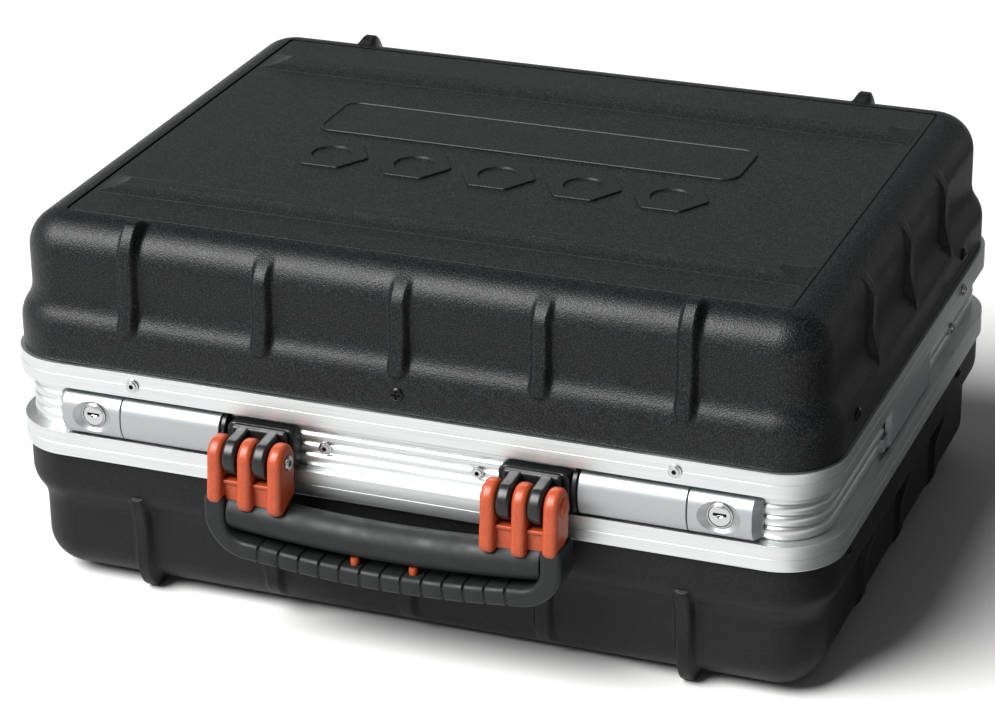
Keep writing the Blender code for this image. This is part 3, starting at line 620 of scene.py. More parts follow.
def wall_rows():
    """Outer wall from the rim up: each row has its plain point, its ribs' points and their width."""
    flange = [(FLANGE_INSET + 0.7, RIM), (FLANGE_INSET + 0.2, RIM + 0.2)]
    flange += [(FLANGE_INSET, level) for level in (RIM + 0.8, 147, 154)]
    rows = [(point, {}, 1.0) for point in flange]
    insets = {"rib": RIB_INSET, "lug": RIB_INSET, "side_rib": SIDE_RIB_INSET}
    wall = sweep_line() + [(BODY_INSET, level) for level in (183, 189, 194)]
    # Close rows where the ribs end keep the step there crisp.
    wall = [point for point in wall if abs(point[1] - RIB_END) > 1.5]
    for step in range(-3, 4):
        level = RIB_END + step * 0.4
        drop = math.sqrt(SWEEP_RADIUS**2 - (level - SWEEP_LOW) ** 2)
        wall.append((FLANGE_INSET + SWEEP_RADIUS - drop, level))
    wall.sort(key=lambda point: point[1])
    for inset, level in wall:
        share = smooth((level - RIB_END + 0.9) / 1.2)
        wide = 0.62 + 0.38 * smooth((level - RIB_END + 0.8) / 5.0)
        held = {}
        for kind, crest in insets.items():
            held[kind] = (inset + (min(crest_line(level, crest), inset) - inset) * share, level)
        rows.append(((inset, level), held, wide))
    # Each kind of rib fades out between two angles of the top rounding; a lug grows before it does.
    fades = {"rib": (2.0, 54.0, 0.0), "side_rib": (0.0, 44.0, 0.0), "lug": (62.0, 87.0, 2.3)}
    for swing in range(0, 95, 5):
        held = {}
        for kind, (start, end, growth) in fades.items():
            proud = BODY_INSET - insets[kind] + growth * smooth(swing / 55)
            radius = TOP_ROUND + proud * (1 - smooth((swing - start) / (end - start)))
            level = min(SPRING + radius * math.sin(math.radians(swing)), LUG_TOP)
            held[kind] = (TOP_CENTRE - radius * math.cos(math.radians(swing)), level)
        plain = arc((TOP_CENTRE, SPRING), TOP_ROUND, 180 - swing, 180, 1)[0]
        rows.append((plain, held, 1.0))
    return rows


def inner_rows():
    inner = BODY_INSET + WALL
    rows = arc((TOP_CENTRE, SPRING), (TOP_CENTRE - inner, CEILING - SPRING), 90, 180, 7)
    rows += [(inner, SWEEP_HIGH), (FLANGE_INSET + WALL, SWEEP_LOW - 2), (FLANGE_INSET + WALL, RIM)]
    return [(point, {}, 1.0) for point in rows]


def shell_shape(crest, turned_over):
    """A moulded shell: flange, sweep, ribbed wall and top rounding, then back down its inner wall."""
    rows = wall_rows()
    if not turned_over:
        pocket = PANEL_INSET - 0.4
        step = ((pocket - 0.1, LID_TOP), (pocket, LID_TOP - 0.1), (pocket, PANEL_FLOOR))
        rows += [(point, {}, 1.0) for point in step]
    rows = rows[::-1] + inner_rows()[::-1]
    stations = shell_stations()
    rings = []
    for plain, held, wide in rows:
        ring = []
        for base, out, distance, kind in stations:
            target = held.get(kind, plain)
            hold = rib_hold(distance, crest * wide)
            inset = plain[0] + (target[0] - plain[0]) * hold
            level = plain[1] + (target[1] - plain[1]) * hold
            spot = base + out * (CORNER - inset)
            ring.append((spot.x, spot.y, MIRROR_SUM - level if turned_over else level))
        rings.append(ring)
    return loft(rings)


def hip_ridge(middle):
    """A long low ridge with sloping sides and ends, its edges softened."""
    length, width = RIDGE_HALF
    crest = length - RIDGE_HIP
    rings = []
    for half_x, half_y, level in (
        (length, width, -0.7),
        (length, width, 0.0),
        (length - 0.5, width - 0.5, 0.3),
        (length - 6.0, 9.6, 1.1),
        (crest + 4.0, 6.2, 2.5),
        (crest + 0.5, 3.6, 4.0),
        (crest - 0.5, 2.9, 4.25),
    ):
        corners = ((half_x, half_y), (-half_x, half_y), (-half_x, -half_y), (half_x, -half_y))
        rings.append([(x, y + middle, PANEL_TOP + level) for x, y in corners])
    return loft(rings)


def stepped(outline_at, steps):
    """A raised plate on the panel, built up from (grow, level) steps of one outline."""
    return loft([[(x, y, PANEL_TOP + level) for x, y in outline_at(grow)] for grow, level in steps])


def badge_outline(grow):
    half_x, half_y = BADGE_HALF
    return rounded_rectangle(half_x + grow, half_y + grow, 10.0 + grow, 8, (0.0, BADGE_LINE))


def nut_outline(middle, grow):
    """A hexagon with rounded corners."""
    points = []
    for angle in range(0, 360, 60):
        turn, reach = math.radians(angle), NUT_REACH + grow
        centre = (middle + reach * math.cos(turn), NUT_LINE + reach * math.sin(turn))
        points += arc(centre, 2.8, angle - 30, angle + 30, 4)
    return points


def panel_shapes():
    """The inset panel's plate, and what stands on it: two ridges, a plain badge and five plain hexagons."""
    edge = ((0.5, PANEL_FLOOR + 0.3), (0.5, PANEL_TOP - 0.5), (0.8, PANEL_TOP - 0.25), (2.2, PANEL_TOP))
    plate = case_loft([(PANEL_INSET + inset, level) for inset, level in edge], closed=False)
    raised = [hip_ridge(side * RIDGE_LINE) for side in (-1, 1)]
    edge = ((0.0, -0.6), (0.0, 0.7), (-0.25, 1.05), (-0.7, 1.2))
    raised.append(stepped(badge_outline, edge + ((-2.0, 1.2), (-2.3, 1.05), (-2.6, 0.6))))
    dishes = []
    for place in NUT_PLACES:
        raised.append(stepped(lambda grow: nut_outline(place, grow), edge + ((-2.6, 1.2),)))
        profile = [(12.8, PANEL_TOP + 3), (12.0, PANEL_TOP + 1.2), (11.4, PANEL_TOP + 0.1)]
        dishes.append(turned((place, NUT_LINE), "Z", profile, 48))
    return plate, raised, dishes


# ---------------------------------------------------------------- frame


def band(low, high, line):
    """Outer face of a frame band: eased edges and one fine line along it."""
    points = [(0.8, low), (0.25, low + 0.12), (0.0, low + 0.6)]
    points += [(0.0, line - 0.3), (0.3, line - 0.12), (0.3, line + 0.12), (0.06, line + 0.3)]
    return points + [(0.08, high - 0.6), (0.3, high - 0.12), (0.8, high)]


def reeds(low, high, count, depth):
    """Convex reeds with sharp grooves between them, the lowest one a little wider."""
    pitch = (high - low) / (count + 0.25)
    points = []
    start = low
    for index in range(count):
        width = pitch * 1.25 if index == 0 else pitch
        for step in range(1, 9):
            share = step / 8
            bulge = math.sin(math.pi * share) ** 0.55 if 0 < share < 1 else 0.0
            points.append((REED_INSET + depth * (1 - bulge), start + width * share))
        start += width
    return points


def lid_frame_profile():
    low, high = LID_BAND
    inner, top = FRAME_LEG + WALL, 151.0
    return band(low, high, 133.0) + [(FRAME_LEG, high), (FRAME_LEG, top), (inner, top), (inner, low)]


def base_frame_profile(depth):
    low = MIRROR_SUM - RIM + 0.3
    points = band(low, BASE_BAND_TOP, 90.0) + [(REED_INSET + depth, BASE_BAND_TOP)]
    points += reeds(BASE_BAND_TOP + 0.1, 124.6, 4, depth)
    points += [(7.6, 124.8), (7.6, 123.0), (9.2, 123.0), (9.2, 124.8), (11.0, 124.8), (11.0, low + 1)]
    inner, foot = FRAME_LEG + WALL, low - 11.5
    return points + [(inner, low - 1), (inner, foot), (FRAME_LEG, foot), (FRAME_LEG, low)]


# ---------------------------------------------------------------- latches


def latch_section(back, front, low, high, share=1.0, trim=0.0):
    """D-shaped section as (y, z). Share is how much of its bulge is left, and trim takes off its height."""
    middle = (low + high) / 2
    half = (high - low) / 2 - trim
    bulge = (back - 1.0 - front) * share
    points = [(back, middle - half + 1.6), (back - 1.2 * share, middle - half)]
    for step in range(1, 20):
        turn = math.pi * step / 20
        points.append((back - 1.0 * share - bulge * math.sin(turn) ** 0.78, middle - half * math.cos(turn)))
    return points + [(back - 1.2 * share, middle + half), (back, middle + half)]


def latch_bar(node, ends):
    """A latch piece along X from (x, share, trim) ends."""
    low, high = span(node)
    rings = []
    for x, share, trim in ends:
        section = latch_section(high.y, low.y, low.z, high.z, share, trim)
        rings.append([(x, y, z) for y, z in section])
    return loft(rings)


# ---------------------------------------------------------------- handle


def bow(x, rise):
    return rise * (x / BOW_SPAN) ** 2


def prong_shape(middle, foot, width=8.5, round_off=3.2):
    """A prong about the pin whose edges are fully rounded, reaching down over the front of the bar."""
    half = width / 2
    pin_y = PIN[0]
    rings = []
    for share in (-1, -0.97, -0.88, -0.74, -0.56, -0.36, 0, 0.36, 0.56, 0.74, 0.88, 0.97, 1):
        over = max(abs(share) * half - (half - round_off), 0.0)
        drawn = round_off - math.sqrt(max(round_off**2 - over**2, 0.0))
        radius = PRONG_RADIUS - drawn
        outline = arc(PIN, radius, -8, 180, 20)
        outline += [(pin_y - radius - 0.8, 100.0), (pin_y - radius - 1.8, foot + 11)]
        outline += arc((pin_y - radius + 1.1, foot + 5.0), (3.6, 5.0 - drawn * 0.6), 165, 270, 6)
        outline += [(pin_y, foot + 4.5), (pin_y + radius - 1.5, foot + 6.5)]
        rings.append([(middle + share * half, y, z) for y, z in outline])
    return loft(rings)


def bar_shape(radius, half_length):
    """The bowed round bar, its ends eased."""
    rings = []
    stations = [(-half_length, 1.0), (-half_length + 0.15, 0.4), (-half_length + 0.8, 0.0)]
    stations += [(half_length * step / 24, 0.0) for step in range(-23, 24)]
    stations += [(half_length - 0.8, 0.0), (half_length - 0.15, 0.4), (half_length, 1.0)]
    for x, drawn in stations:
        centre = (BAR_LINE[0], BAR_LINE[1] + bow(x, BAR_BOW))
        rings.append([(x, y, z) for y, z in circle(centre, radius - drawn, 40)])
    return loft(rings)


def loop_stations(pitch, depth):
    """Stations along the lower run for its grooves, as (x, drawn in)."""
    count = 13
    found = []
    for index in range(count):
        place = -pitch * (count - 1) / 2 + index * pitch
        found += [(place - 1.0, 0.0), (place - 0.55, depth * 0.75), (place, depth)]
        found += [(place + 0.55, depth * 0.75), (place + 1.0, 0.0), (place + pitch / 2, 0.0)]
    return found[:-1]


def loop_shape(pitch, depth):
    """The rubber loop under the bar: a soft rectangular section swept along it, its lower run grooved."""
    thick, thin, deep = 6.1, 5.3, 11.2
    bend_top = 76.0
    stations = [(-LOOP_HALF, z, thick, drawn) for z, drawn in ((88.0, 2.6), (87.6, 1.2), (86.8, 0.4))]
    stations += [(-LOOP_HALF, z, thick, 0.0) for z in (85.5, 80.0, bend_top)]
    for x, z in arc((LOOP_TURN - LOOP_HALF, bend_top), LOOP_TURN, 180, 262, 12)[1:]:
        stations.append((x, z, thick - (thick - thin) * smooth((bend_top - z) / 15), 0.0))
    run = [(x, LOOP_LOW + bow(x, LOOP_BOW), thin, drawn) for x, drawn in loop_stations(pitch, depth)]
    stations += run + [(-x, z, half, drawn) for x, z, half, drawn in reversed(stations)]
    rings = []
    for index, (x, z, half, drawn) in enumerate(stations):
        before = stations[max(index - 1, 0)]
        after = stations[min(index + 1, len(stations) - 1)]
        along = Vector((after[0] - before[0], after[1] - before[1])).normalized()
        out = Vector((along.y, -along.x))
        ring = []
        for wide, high in rounded_rectangle(half - drawn, deep - drawn, 2.8, 5):
            ring.append((x + out.x * wide, LOOP_LINE + high, z + out.y * wide))
        rings.append(ring)
    return loft(rings)


# ---------------------------------------------------------------- operators


def length_property(name, description, default):
    return FloatProperty(name=name, description=description, default=default, unit="LENGTH")


def colour_property(name, code):
    words = f"Colour of the {name.lower()}"
    return FloatVectorProperty(name=name, description=words, subtype="COLOR", default=linear(code))


class CaseSizes(bpy.types.PropertyGroup):
    """Sizes of the case's surface detail."""

    grain: length_property("Grain", "Width of the etched grain's pips", 0.0008)
    crest: length_property("Rib crest", "Width of a rib's flat crest", 0.008)
    reed: length_property("Reed depth", "Depth of the grooves", 0.0015)
    groove_pitch: length_property("Grip pitch", "Distance between the loop's grooves", 0.012)
    groove_depth: length_property("Grip groove", "Depth of the loop's grooves", 0.001)


class CaseColours(bpy.types.PropertyGroup):
    """Colours of the case and its contents."""

    lid: colour_property("Lid shell", "#0A0B0C")
    base: colour_property("Base shell", "#0E0F0F")
    panel: colour_property("Lid panel", "#1A1C1C")
    aluminium: colour_property("Aluminium frame", "#DADDDC")
    satin: colour_property("Latches", "#A8ABAD")
    black: colour_property("Black fittings", "#141415")
    orange: colour_property("Handle links", "#9A3B15")
    rubber: colour_property("Handle rubber", "#151717")
    steel: colour_property("Rivets and pins", "#C4C5C5")
    chrome: colour_property("Tools", "#D6D6D8")
    foam: colour_property("Foam", "#1D1D1F")


class CaseStep(bpy.types.Operator):
    """Shared start of the case's operators"""

    bl_options = {"REGISTER", "UNDO"}


class CASE_OT_shells(CaseStep):
    """Moulded lid and base shells with their ribs, lugs and feet"""

    bl_idname = "case.shells"
    bl_label = "Shells"

    def execute(self, context):
        crest = context.scene.case_sizes.crest / MM
        for body, turned_over in (("lid", False), ("base", True)):
            shape = shell_shape(crest, turned_over)
            put(f"{body}_shell_moulded", shape, f"{body}_plastic", body, f"{body}_shell", sharp=50)
        return {"FINISHED"}


class CASE_OT_panel(CaseStep):
    """Inset lid panel with its ridges, badge plate and hexagons"""

    bl_idname = "case.panel"
    bl_label = "Lid panel"

    def execute(self, context):
        plate, raised, dishes = panel_shapes()
        shapes = {"add": raised, "cut": dishes, "sharp": 12}
        put("lid_panel_moulded", plate, "panel_plastic", "lid", "lid_panel", **shapes)
        return {"FINISHED"}


class CASE_OT_frames(CaseStep):
    """Aluminium frames, the seal and the joint plate"""

    bl_idname = "case.frames"
    bl_label = "Frames"

    def execute(self, context):
        depth = context.scene.case_sizes.reed / MM
        put("lid_frame_extruded", case_loft(lid_frame_profile()), "aluminium", "lid", "lid_frame")
        put("base_frame_extruded", case_loft(base_frame_profile(depth)), "aluminium", "base", "base_frame")
        seal = [(7.9, 123.3), (8.9, 123.3), (8.9, 124.5), (8.4, 124.9), (7.9, 124.5)]
        put("seal_moulded", case_loft(seal), "rubber", "base", "base_seal")
        self.joint_plate("frame_joint_plate")
        return {"FINISHED"}

    def joint_plate(self, node):
        """A pressed plate with two raised steps and a tab towards the front."""
        low, high = span(node)
        half_y, half_z = (high.y - low.y) / 2, (high.z - low.z) / 2
        outline = rounded_rectangle(half_y, half_z, 2.5, middle=axis_of(node, "X"))
        raised = []
        for start in (low.y + 1.5, low.y + 4.9):
            raised.append(box((high.x - 0.3, start, low.z + 2), (high.x + 0.8, start + 1.8, high.z - 2)))
        tab = box((low.x - 1.0, low.y - 9.0, low.z + 1.5), (high.x - 0.6, low.y + 1.0, low.z + 9.5))
        plate = prism(outline, "X", low.x, high.x)
        put("joint_plate_pressed", plate, "satin_metal", "base", node, add=[*raised, tab], edge=0.4)


class CASE_OT_latches(CaseStep):
    """Two key-locked latches: levers, lock bodies, key cylinders, guards and pins"""

    bl_idname = "case.latches"
    bl_label = "Latches"

    def execute(self, context):
        for side, word in SIDES:
            self.lock(side, word)
            self.lever(word)
            self.key(word)
        return {"FINISHED"}

    def lock(self, side, word):
        """A lock body with a conical dish, and the steel rim about its key cylinder."""
        node = f"lock_body_{word}"
        low, high = span(node)
        inner, outer = (low.x, high.x) if side > 0 else (high.x, low.x)
        ends = [(inner, 0.97, 0.25), (inner + side * 0.35, 1.0, 0.0), (outer - side * 4.2, 1.0, 0.0)]
        ends += [(outer - side * 3.9, 0.985, 0.1), (outer - side * 0.5, 0.46, 1.6), (outer, 0.3, 2.2)]
        place = axis_of(f"key_cylinder_{word}", "Y")
        face = low.y
        dish = [(13.6, face - 1.5), (12.0, face), (7.9, face + 2.9), (7.9, face + 3.1)]
        cuts = [turned(place, "Y", dish, 64)]
        for radius, end in ((7.5, face + 3.7), (6.6, high.y + 2)):
            cuts.append(bore(place, "Y", radius, face - 1, end, 48))
        body = latch_bar(node, ends)
        put(f"lock_body_cast_{word}", body, "satin_metal", "base", node, cut=cuts, sharp=30)
        profile = [(7.2, face + 4.4), (7.2, face + 2.6), (6.9, face + 2.3), (6.7, face + 2.3)]
        hole = bore(place, "Y", 6.45, face, face + 6, 48)
        put(f"lock_rim_turned_{word}", turned(place, "Y", profile, 48), "steel", "base", cut=[hole])

    def lever(self, word):
        """A lever, the black guard beside it and the pin that it turns on."""
        for kind, made, slot, body, ease, share, trim, sharp in (
            ("latch_lever", "latch_lever_cast", "satin_metal", f"latch_{word}", 0.35, 0.97, 0.25, 30),
            ("lever_guard", "lever_guard_moulded", "gloss_black", "base", 0.9, 0.85, 1.0, 50),
        ):
            node = f"{kind}_{word}"
            low, high = span(node)
            ends = [(low.x, share, trim), (low.x + ease, 1.0, 0.0)]
            ends += [(high.x - ease, 1.0, 0.0), (high.x, share, trim)]
            put(f"{made}_{word}", latch_bar(node, ends), slot, body, node, sharp=sharp)
        node = f"latch_pin_{word}"
        low, high = span(node)
        pin = eased_rod(axis_of(node, "X"), "X", 1.2, low.x, high.x, sides=24)
        put(f"latch_pin_drawn_{word}", pin, "steel", "base", node)

    def key(self, word):
        """A key cylinder whose slot is lined in black as painted shade."""
        node = f"key_cylinder_{word}"
        low, high = span(node)
        x, z = axis_of(node, "Y")
        radius = (high.x - low.x) / 2
        profile = [(radius - 0.4, low.y + 0.6), (radius, low.y + 1.0), (radius, high.y)]
        slot = box((x - 3.7, low.y - 1, z - 0.2), (x + 3.7, low.y + 4.5, z + 1.5))
        notch = prism(arc((x, z), 1.7, 180, 360, 10), "Y", low.y - 1, low.y + 1.4)
        plug = turned((x, z), "Y", profile, 48)
        # The slot's walls are lined with black: painted shade inside the recess.
        shapes = {"cut": [slot], "painted_shade_lining": finish_for("gloss_black")}
        made = put(f"key_cylinder_turned_{word}", plug, "steel", f"key_{word}", node, **shapes)
        carve(made, [notch], "DIFFERENCE")
        made.data.shade_smooth()
        made.data.set_sharp_from_angle(angle=math.radians(35))


class CASE_OT_brackets(CaseStep):
    """Black handle brackets with their pins, and the orange links"""

    bl_idname = "case.brackets"
    bl_label = "Brackets and links"

    def execute(self, context):
        for side, word in SIDES:
            self.bracket(word)
            self.link(side, word)
            self.pin(side, word)
        return {"FINISHED"}

    def bracket(self, word):
        """A plate with a brow over the links and two knuckles that hold the pin."""
        node = f"handle_bracket_{word}"
        low, high = span(node)
        middle, level = axis_of(node, "Y")
        half_x, half_z = (high.x - low.x) / 2, (high.z - low.z) / 2
        plate = rounded_rectangle(half_x, half_z, 4.5, 8, (middle, level))
        plate = soften(prism(plate, "Y", -184.6, high.y), 1.2, 3)
        outline = [(-180.0, 121.0), (-187.0, 120.9), (-192.0, 120.6)] + arc(PIN, 10.8, 105, 262, 18)
        outline += [(-191.0, 99.8), (-180.0, 99.8)]
        brow = box((middle - 16.5, -188.2, 113.8), (middle + 16.5, -180.0, 121.4))
        added = [soften(brow, 2.2, 4)]
        for x in (middle - 8.9, middle + 8.9):
            added.append(soften(prism(outline, "X", x - 3.9, x + 3.9), 2.0, 4))
        shapes = {"add": added, "cut": [bore(PIN, "X", PIN_BORE, middle - 30, middle + 30)], "sharp": 45}
        put(f"handle_bracket_moulded_{word}", plate, "gloss_black", "base", node, **shapes)

    def link(self, side, word):
        """Three prongs tied together in front of the bar, with a domed boss on the outer one."""
        middle = side * LINK_PLACE
        prongs = []
        for step in (-1, 0, 1):
            foot = PRONG_FOOT + (2.0 if step == side else 0.0)
            prongs.append(prong_shape(middle + step * PRONG_PITCH, foot))
        tie = soften(box((middle - 18, -205.0, PRONG_FOOT + 0.5), (middle + 18, -193.0, 96.2)), 0.6)
        lip = soften(box((middle - 18, -206.2, 95.2), (middle + 18, -192.0, 97.2)), 0.5)
        face = middle + side * 22.0
        dome = ((5.4, -1.0), (5.4, 0.4), (5.0, 1.1), (3.8, 1.8), (1.8, 2.2), (0.3, 2.3))
        boss = domed(PIN, "X", face, side, dome)
        hole = bore(PIN, "X", PIN_BORE, middle - side * 30, middle + side * 21)
        shapes = {"add": [*prongs[1:], tie, lip, boss], "cut": [hole], "sharp": 50}
        node = f"handle_link_{word}"
        put(f"handle_link_moulded_{word}", prongs[0], "orange_plastic", "handle", node, **shapes)

    def pin(self, side, word):
        """A pin with a flat head on its inner end and a hexagon recess in it."""
        node = f"handle_pin_{word}"
        low, high = span(node)
        head, tail = (high.x, low.x) if side < 0 else (low.x, high.x)
        profile = [(2.6, tail), (PIN_RADIUS, tail - side * 0.5), (PIN_RADIUS, head + side * 1.3)]
        profile += [(4.2, head + side * 1.3), (4.2, head + side * 0.5), (3.6, head)]
        recess = prism(circle(PIN, 2.0, 6), "X", *sorted((head + side * 2.2, head - side)))
        put(f"handle_pin_turned_{word}", turned(PIN, "X", profile, 32), "steel", "base", node, cut=[recess])


class CASE_OT_grip(CaseStep):
    """Handle bar, the rubber loop under it and its two studs"""

    bl_idname = "case.grip"
    bl_label = "Grip"

    def execute(self, context):
        sizes = context.scene.case_sizes
        low, high = span("handle_bar")
        put("handle_bar_moulded", bar_shape((high.y - low.y) / 2, high.x), "rubber", "handle", "handle_bar")
        loop = loop_shape(sizes.groove_pitch / MM, sizes.groove_depth / MM)
        put("handle_loop_moulded", loop, "rubber", "handle", "handle_cushion", sharp=60)
        for _, word in SIDES:
            node = f"spacer_stud_{word}"
            low, high = span(node)
            radius = (high.x - low.x) / 2
            profile = [(radius, low.z - 1), (radius + 0.3, (low.z + high.z) / 2), (radius, high.z + 1)]
            stud = turned(axis_of(node, "Z"), "Z", profile, 24)
            put(f"spacer_stud_moulded_{word}", stud, "orange_plastic", "handle", node)
        return {"FINISHED"}


class CASE_OT_fixings(CaseStep):
    """Rivets of the frame and the black cross-head screws of the shells"""

    bl_idname = "case.fixings"
    bl_label = "Rivets and screws"

    def execute(self, context):
        for side, word in SIDES:
            self.rivet(f"lid_rivet_front_{word}", "lid", "Y", -1)
            self.rivet(f"frame_rivet_front_{word}", "base", "Y", -1)
            self.rivet(f"lid_stay_rivet_{word}", "lid", "X", side)
            self.rivet(f"base_stay_rivet_{word}", "base", "X", side)
        for side, end in ((-1, "front"), (1, "back")):
            self.screw(f"lid_screw_{end}", "lid", "Y", side, (0.0, 151.0), HALF_DEPTH - FLANGE_INSET)
        for side, word in SIDES:
            for body, level, front in (("lid", 152.5, -125.0), ("base", 77.0, -134.0)):
                for y, end in ((front, "front"), (104.0, "back")):
                    name = f"{body}_screw_{word}_{end}"
                    self.screw(name, body, "X", side, (y, level), HALF_WIDTH - FLANGE_INSET)
        return {"FINISHED"}

    def rivet(self, node, body, along, side):
        """A flanged rivet with a raised ring and a deep hole, its walls lined in black as painted shade."""
        low, high = span(node)
        start, end = (low.x, high.x) if along == "X" else (low.y, high.y)
        foot, top = (start, end) if side > 0 else (end, start)
        flange = ((3.6, 0.0), (3.85, 0.25), (3.75, 0.6), (3.3, 0.8), (2.9, 0.85))
        profile = [(radius, foot + side * proud) for radius, proud in flange]
        profile += [(2.7, top - side * 0.15), (2.4, top)]
        place = axis_of(node, along)
        hole = prism(circle(place, 1.45, 6), along, *sorted((top - side * 1.45, top + side)))
        # The hole's walls are lined with black: painted shade inside the hole.
        shapes = {"cut": [hole], "painted_shade_lining": finish_for("gloss_black")}
        put(f"{node}_set", turned(place, along, profile, 32), "steel", body, node, **shapes)

    def screw(self, name, body, along, side, place, face):
        """A domed screw head with a cross recess, standing on the flange."""
        start = side * (face - 0.6)
        dome = ((3.9, 0.0), (3.9, 1.1), (3.5, 1.6), (2.4, 2.1), (1.2, 2.3), (0.2, 2.35))
        head = domed(place, along, start, side, dome)
        ends = sorted((start + side * 1.0, start + side * 3))
        cross = [beam(place, along, *halves, *ends) for halves in ((2.6, 0.55), (0.55, 2.6))]
        put(name, head, "black_screw", body, cut=cross)


class CASE_OT_hinges(CaseStep):
    """Back hinges and the lid's folding stays"""

    bl_idname = "case.hinges"
    bl_label = "Hinges and stays"

    def execute(self, context):
        for _, word in SIDES:
            self.hinge(word)
            for level in ("lower", "upper"):
                self.arm(f"stay_arm_{level}_{word}", f"stay_{level}_{word}", level)
        return {"FINISHED"}

    def hinge(self, word):
        """Two leaves rolled round a pin: the base's ears and the lid's hub between them."""
        axis = axis_of(f"hinge_pin_{word}", "X")
        left, right = (corner.x for corner in span(f"hinge_pin_{word}"))
        hub = ((left + right) / 2 - 10.0, (left + right) / 2 + 10.0)
        # The hinges' rivets stand on the back as the handle's brackets do on the front.
        back = -span("handle_bracket_left")[1].y
        low, _ = span(f"hinge_leaf_base_{word}")
        plate = soften(box((left, low.y, low.z), (right, low.y + 2.5, 122.0)), 0.5)
        rolled = []
        for start, end in ((left, hub[0] - 0.3), (hub[1] + 0.3, right)):
            rolled.append(box((start, low.y + 1, 120.5), (end, axis[0], 124.4)))
            rolled.append(eased_rod(axis, "X", 3.5, start, end))
        self.leaf("base", word, plate, rolled, bore(axis, "X", 1.6, left - 2, right + 2))
        low, high = span(f"hinge_leaf_lid_{word}")
        plate = soften(box((left, low.y, 129.0), (right, low.y + 2.4, high.z)), 0.5)
        rolled = [box((hub[0], low.y, axis[1] + 0.6), (hub[1], axis[0], 130.0))]
        rolled.append(eased_rod(axis, "X", 3.5, *hub))
        self.leaf("lid", word, plate, rolled, bore(axis, "X", 1.6, left - 2, right + 2))
        pin = eased_rod(axis, "X", 1.3, left, right, sides=24)
        put(f"hinge_pin_{word}_drawn", pin, "steel", "base", f"hinge_pin_{word}")
        dome = ((2.6, -0.3), (2.6, 0.4), (2.0, 0.9), (0.4, 1.2))
        for index, x in enumerate((left + 6.5, (left + right) / 2, right - 6.5)):
            for body, face, level in (("base", back + 2.5, 110.0), ("lid", low.y + 2.4, 134.2)):
                head = domed((x, level), "Y", face, 1, dome, 24)
                put(f"hinge_rivet_{body}_{word}_{index}", head, "steel", body)

    def leaf(self, body, word, plate, rolled, hole):
        """One leaf: a plate joined to its rolled edge and drilled for the pin."""
        node = f"hinge_leaf_{body}_{word}"
        put(f"{node}_rolled", plate, "aluminium", body, node, add=rolled, cut=[hole])

    def arm(self, node, body, level):
        """A flat stay arm with round ends and a hole in each; the lower one rises towards the front."""
        low, high = span(node)
        radius = 5.5
        back, front = (high.y - radius, low.z + radius), (low.y + radius, high.z - radius)
        if level == "upper":
            back, front = (back[0], front[1]), (front[0], back[1])
        turn = math.degrees(math.atan2(front[1] - back[1], front[0] - back[0]))
        outline = arc(front, radius, turn - 90, turn + 90, 14)
        outline += arc(back, radius, turn + 90, turn + 270, 14)
        holes = [bore(place, "X", 1.6, low.x - 1, high.x + 1) for place in (back, front)]
        put(f"{node}_pressed", prism(outline, "X", low.x, high.x), "steel", body, node, cut=holes, edge=0.3)


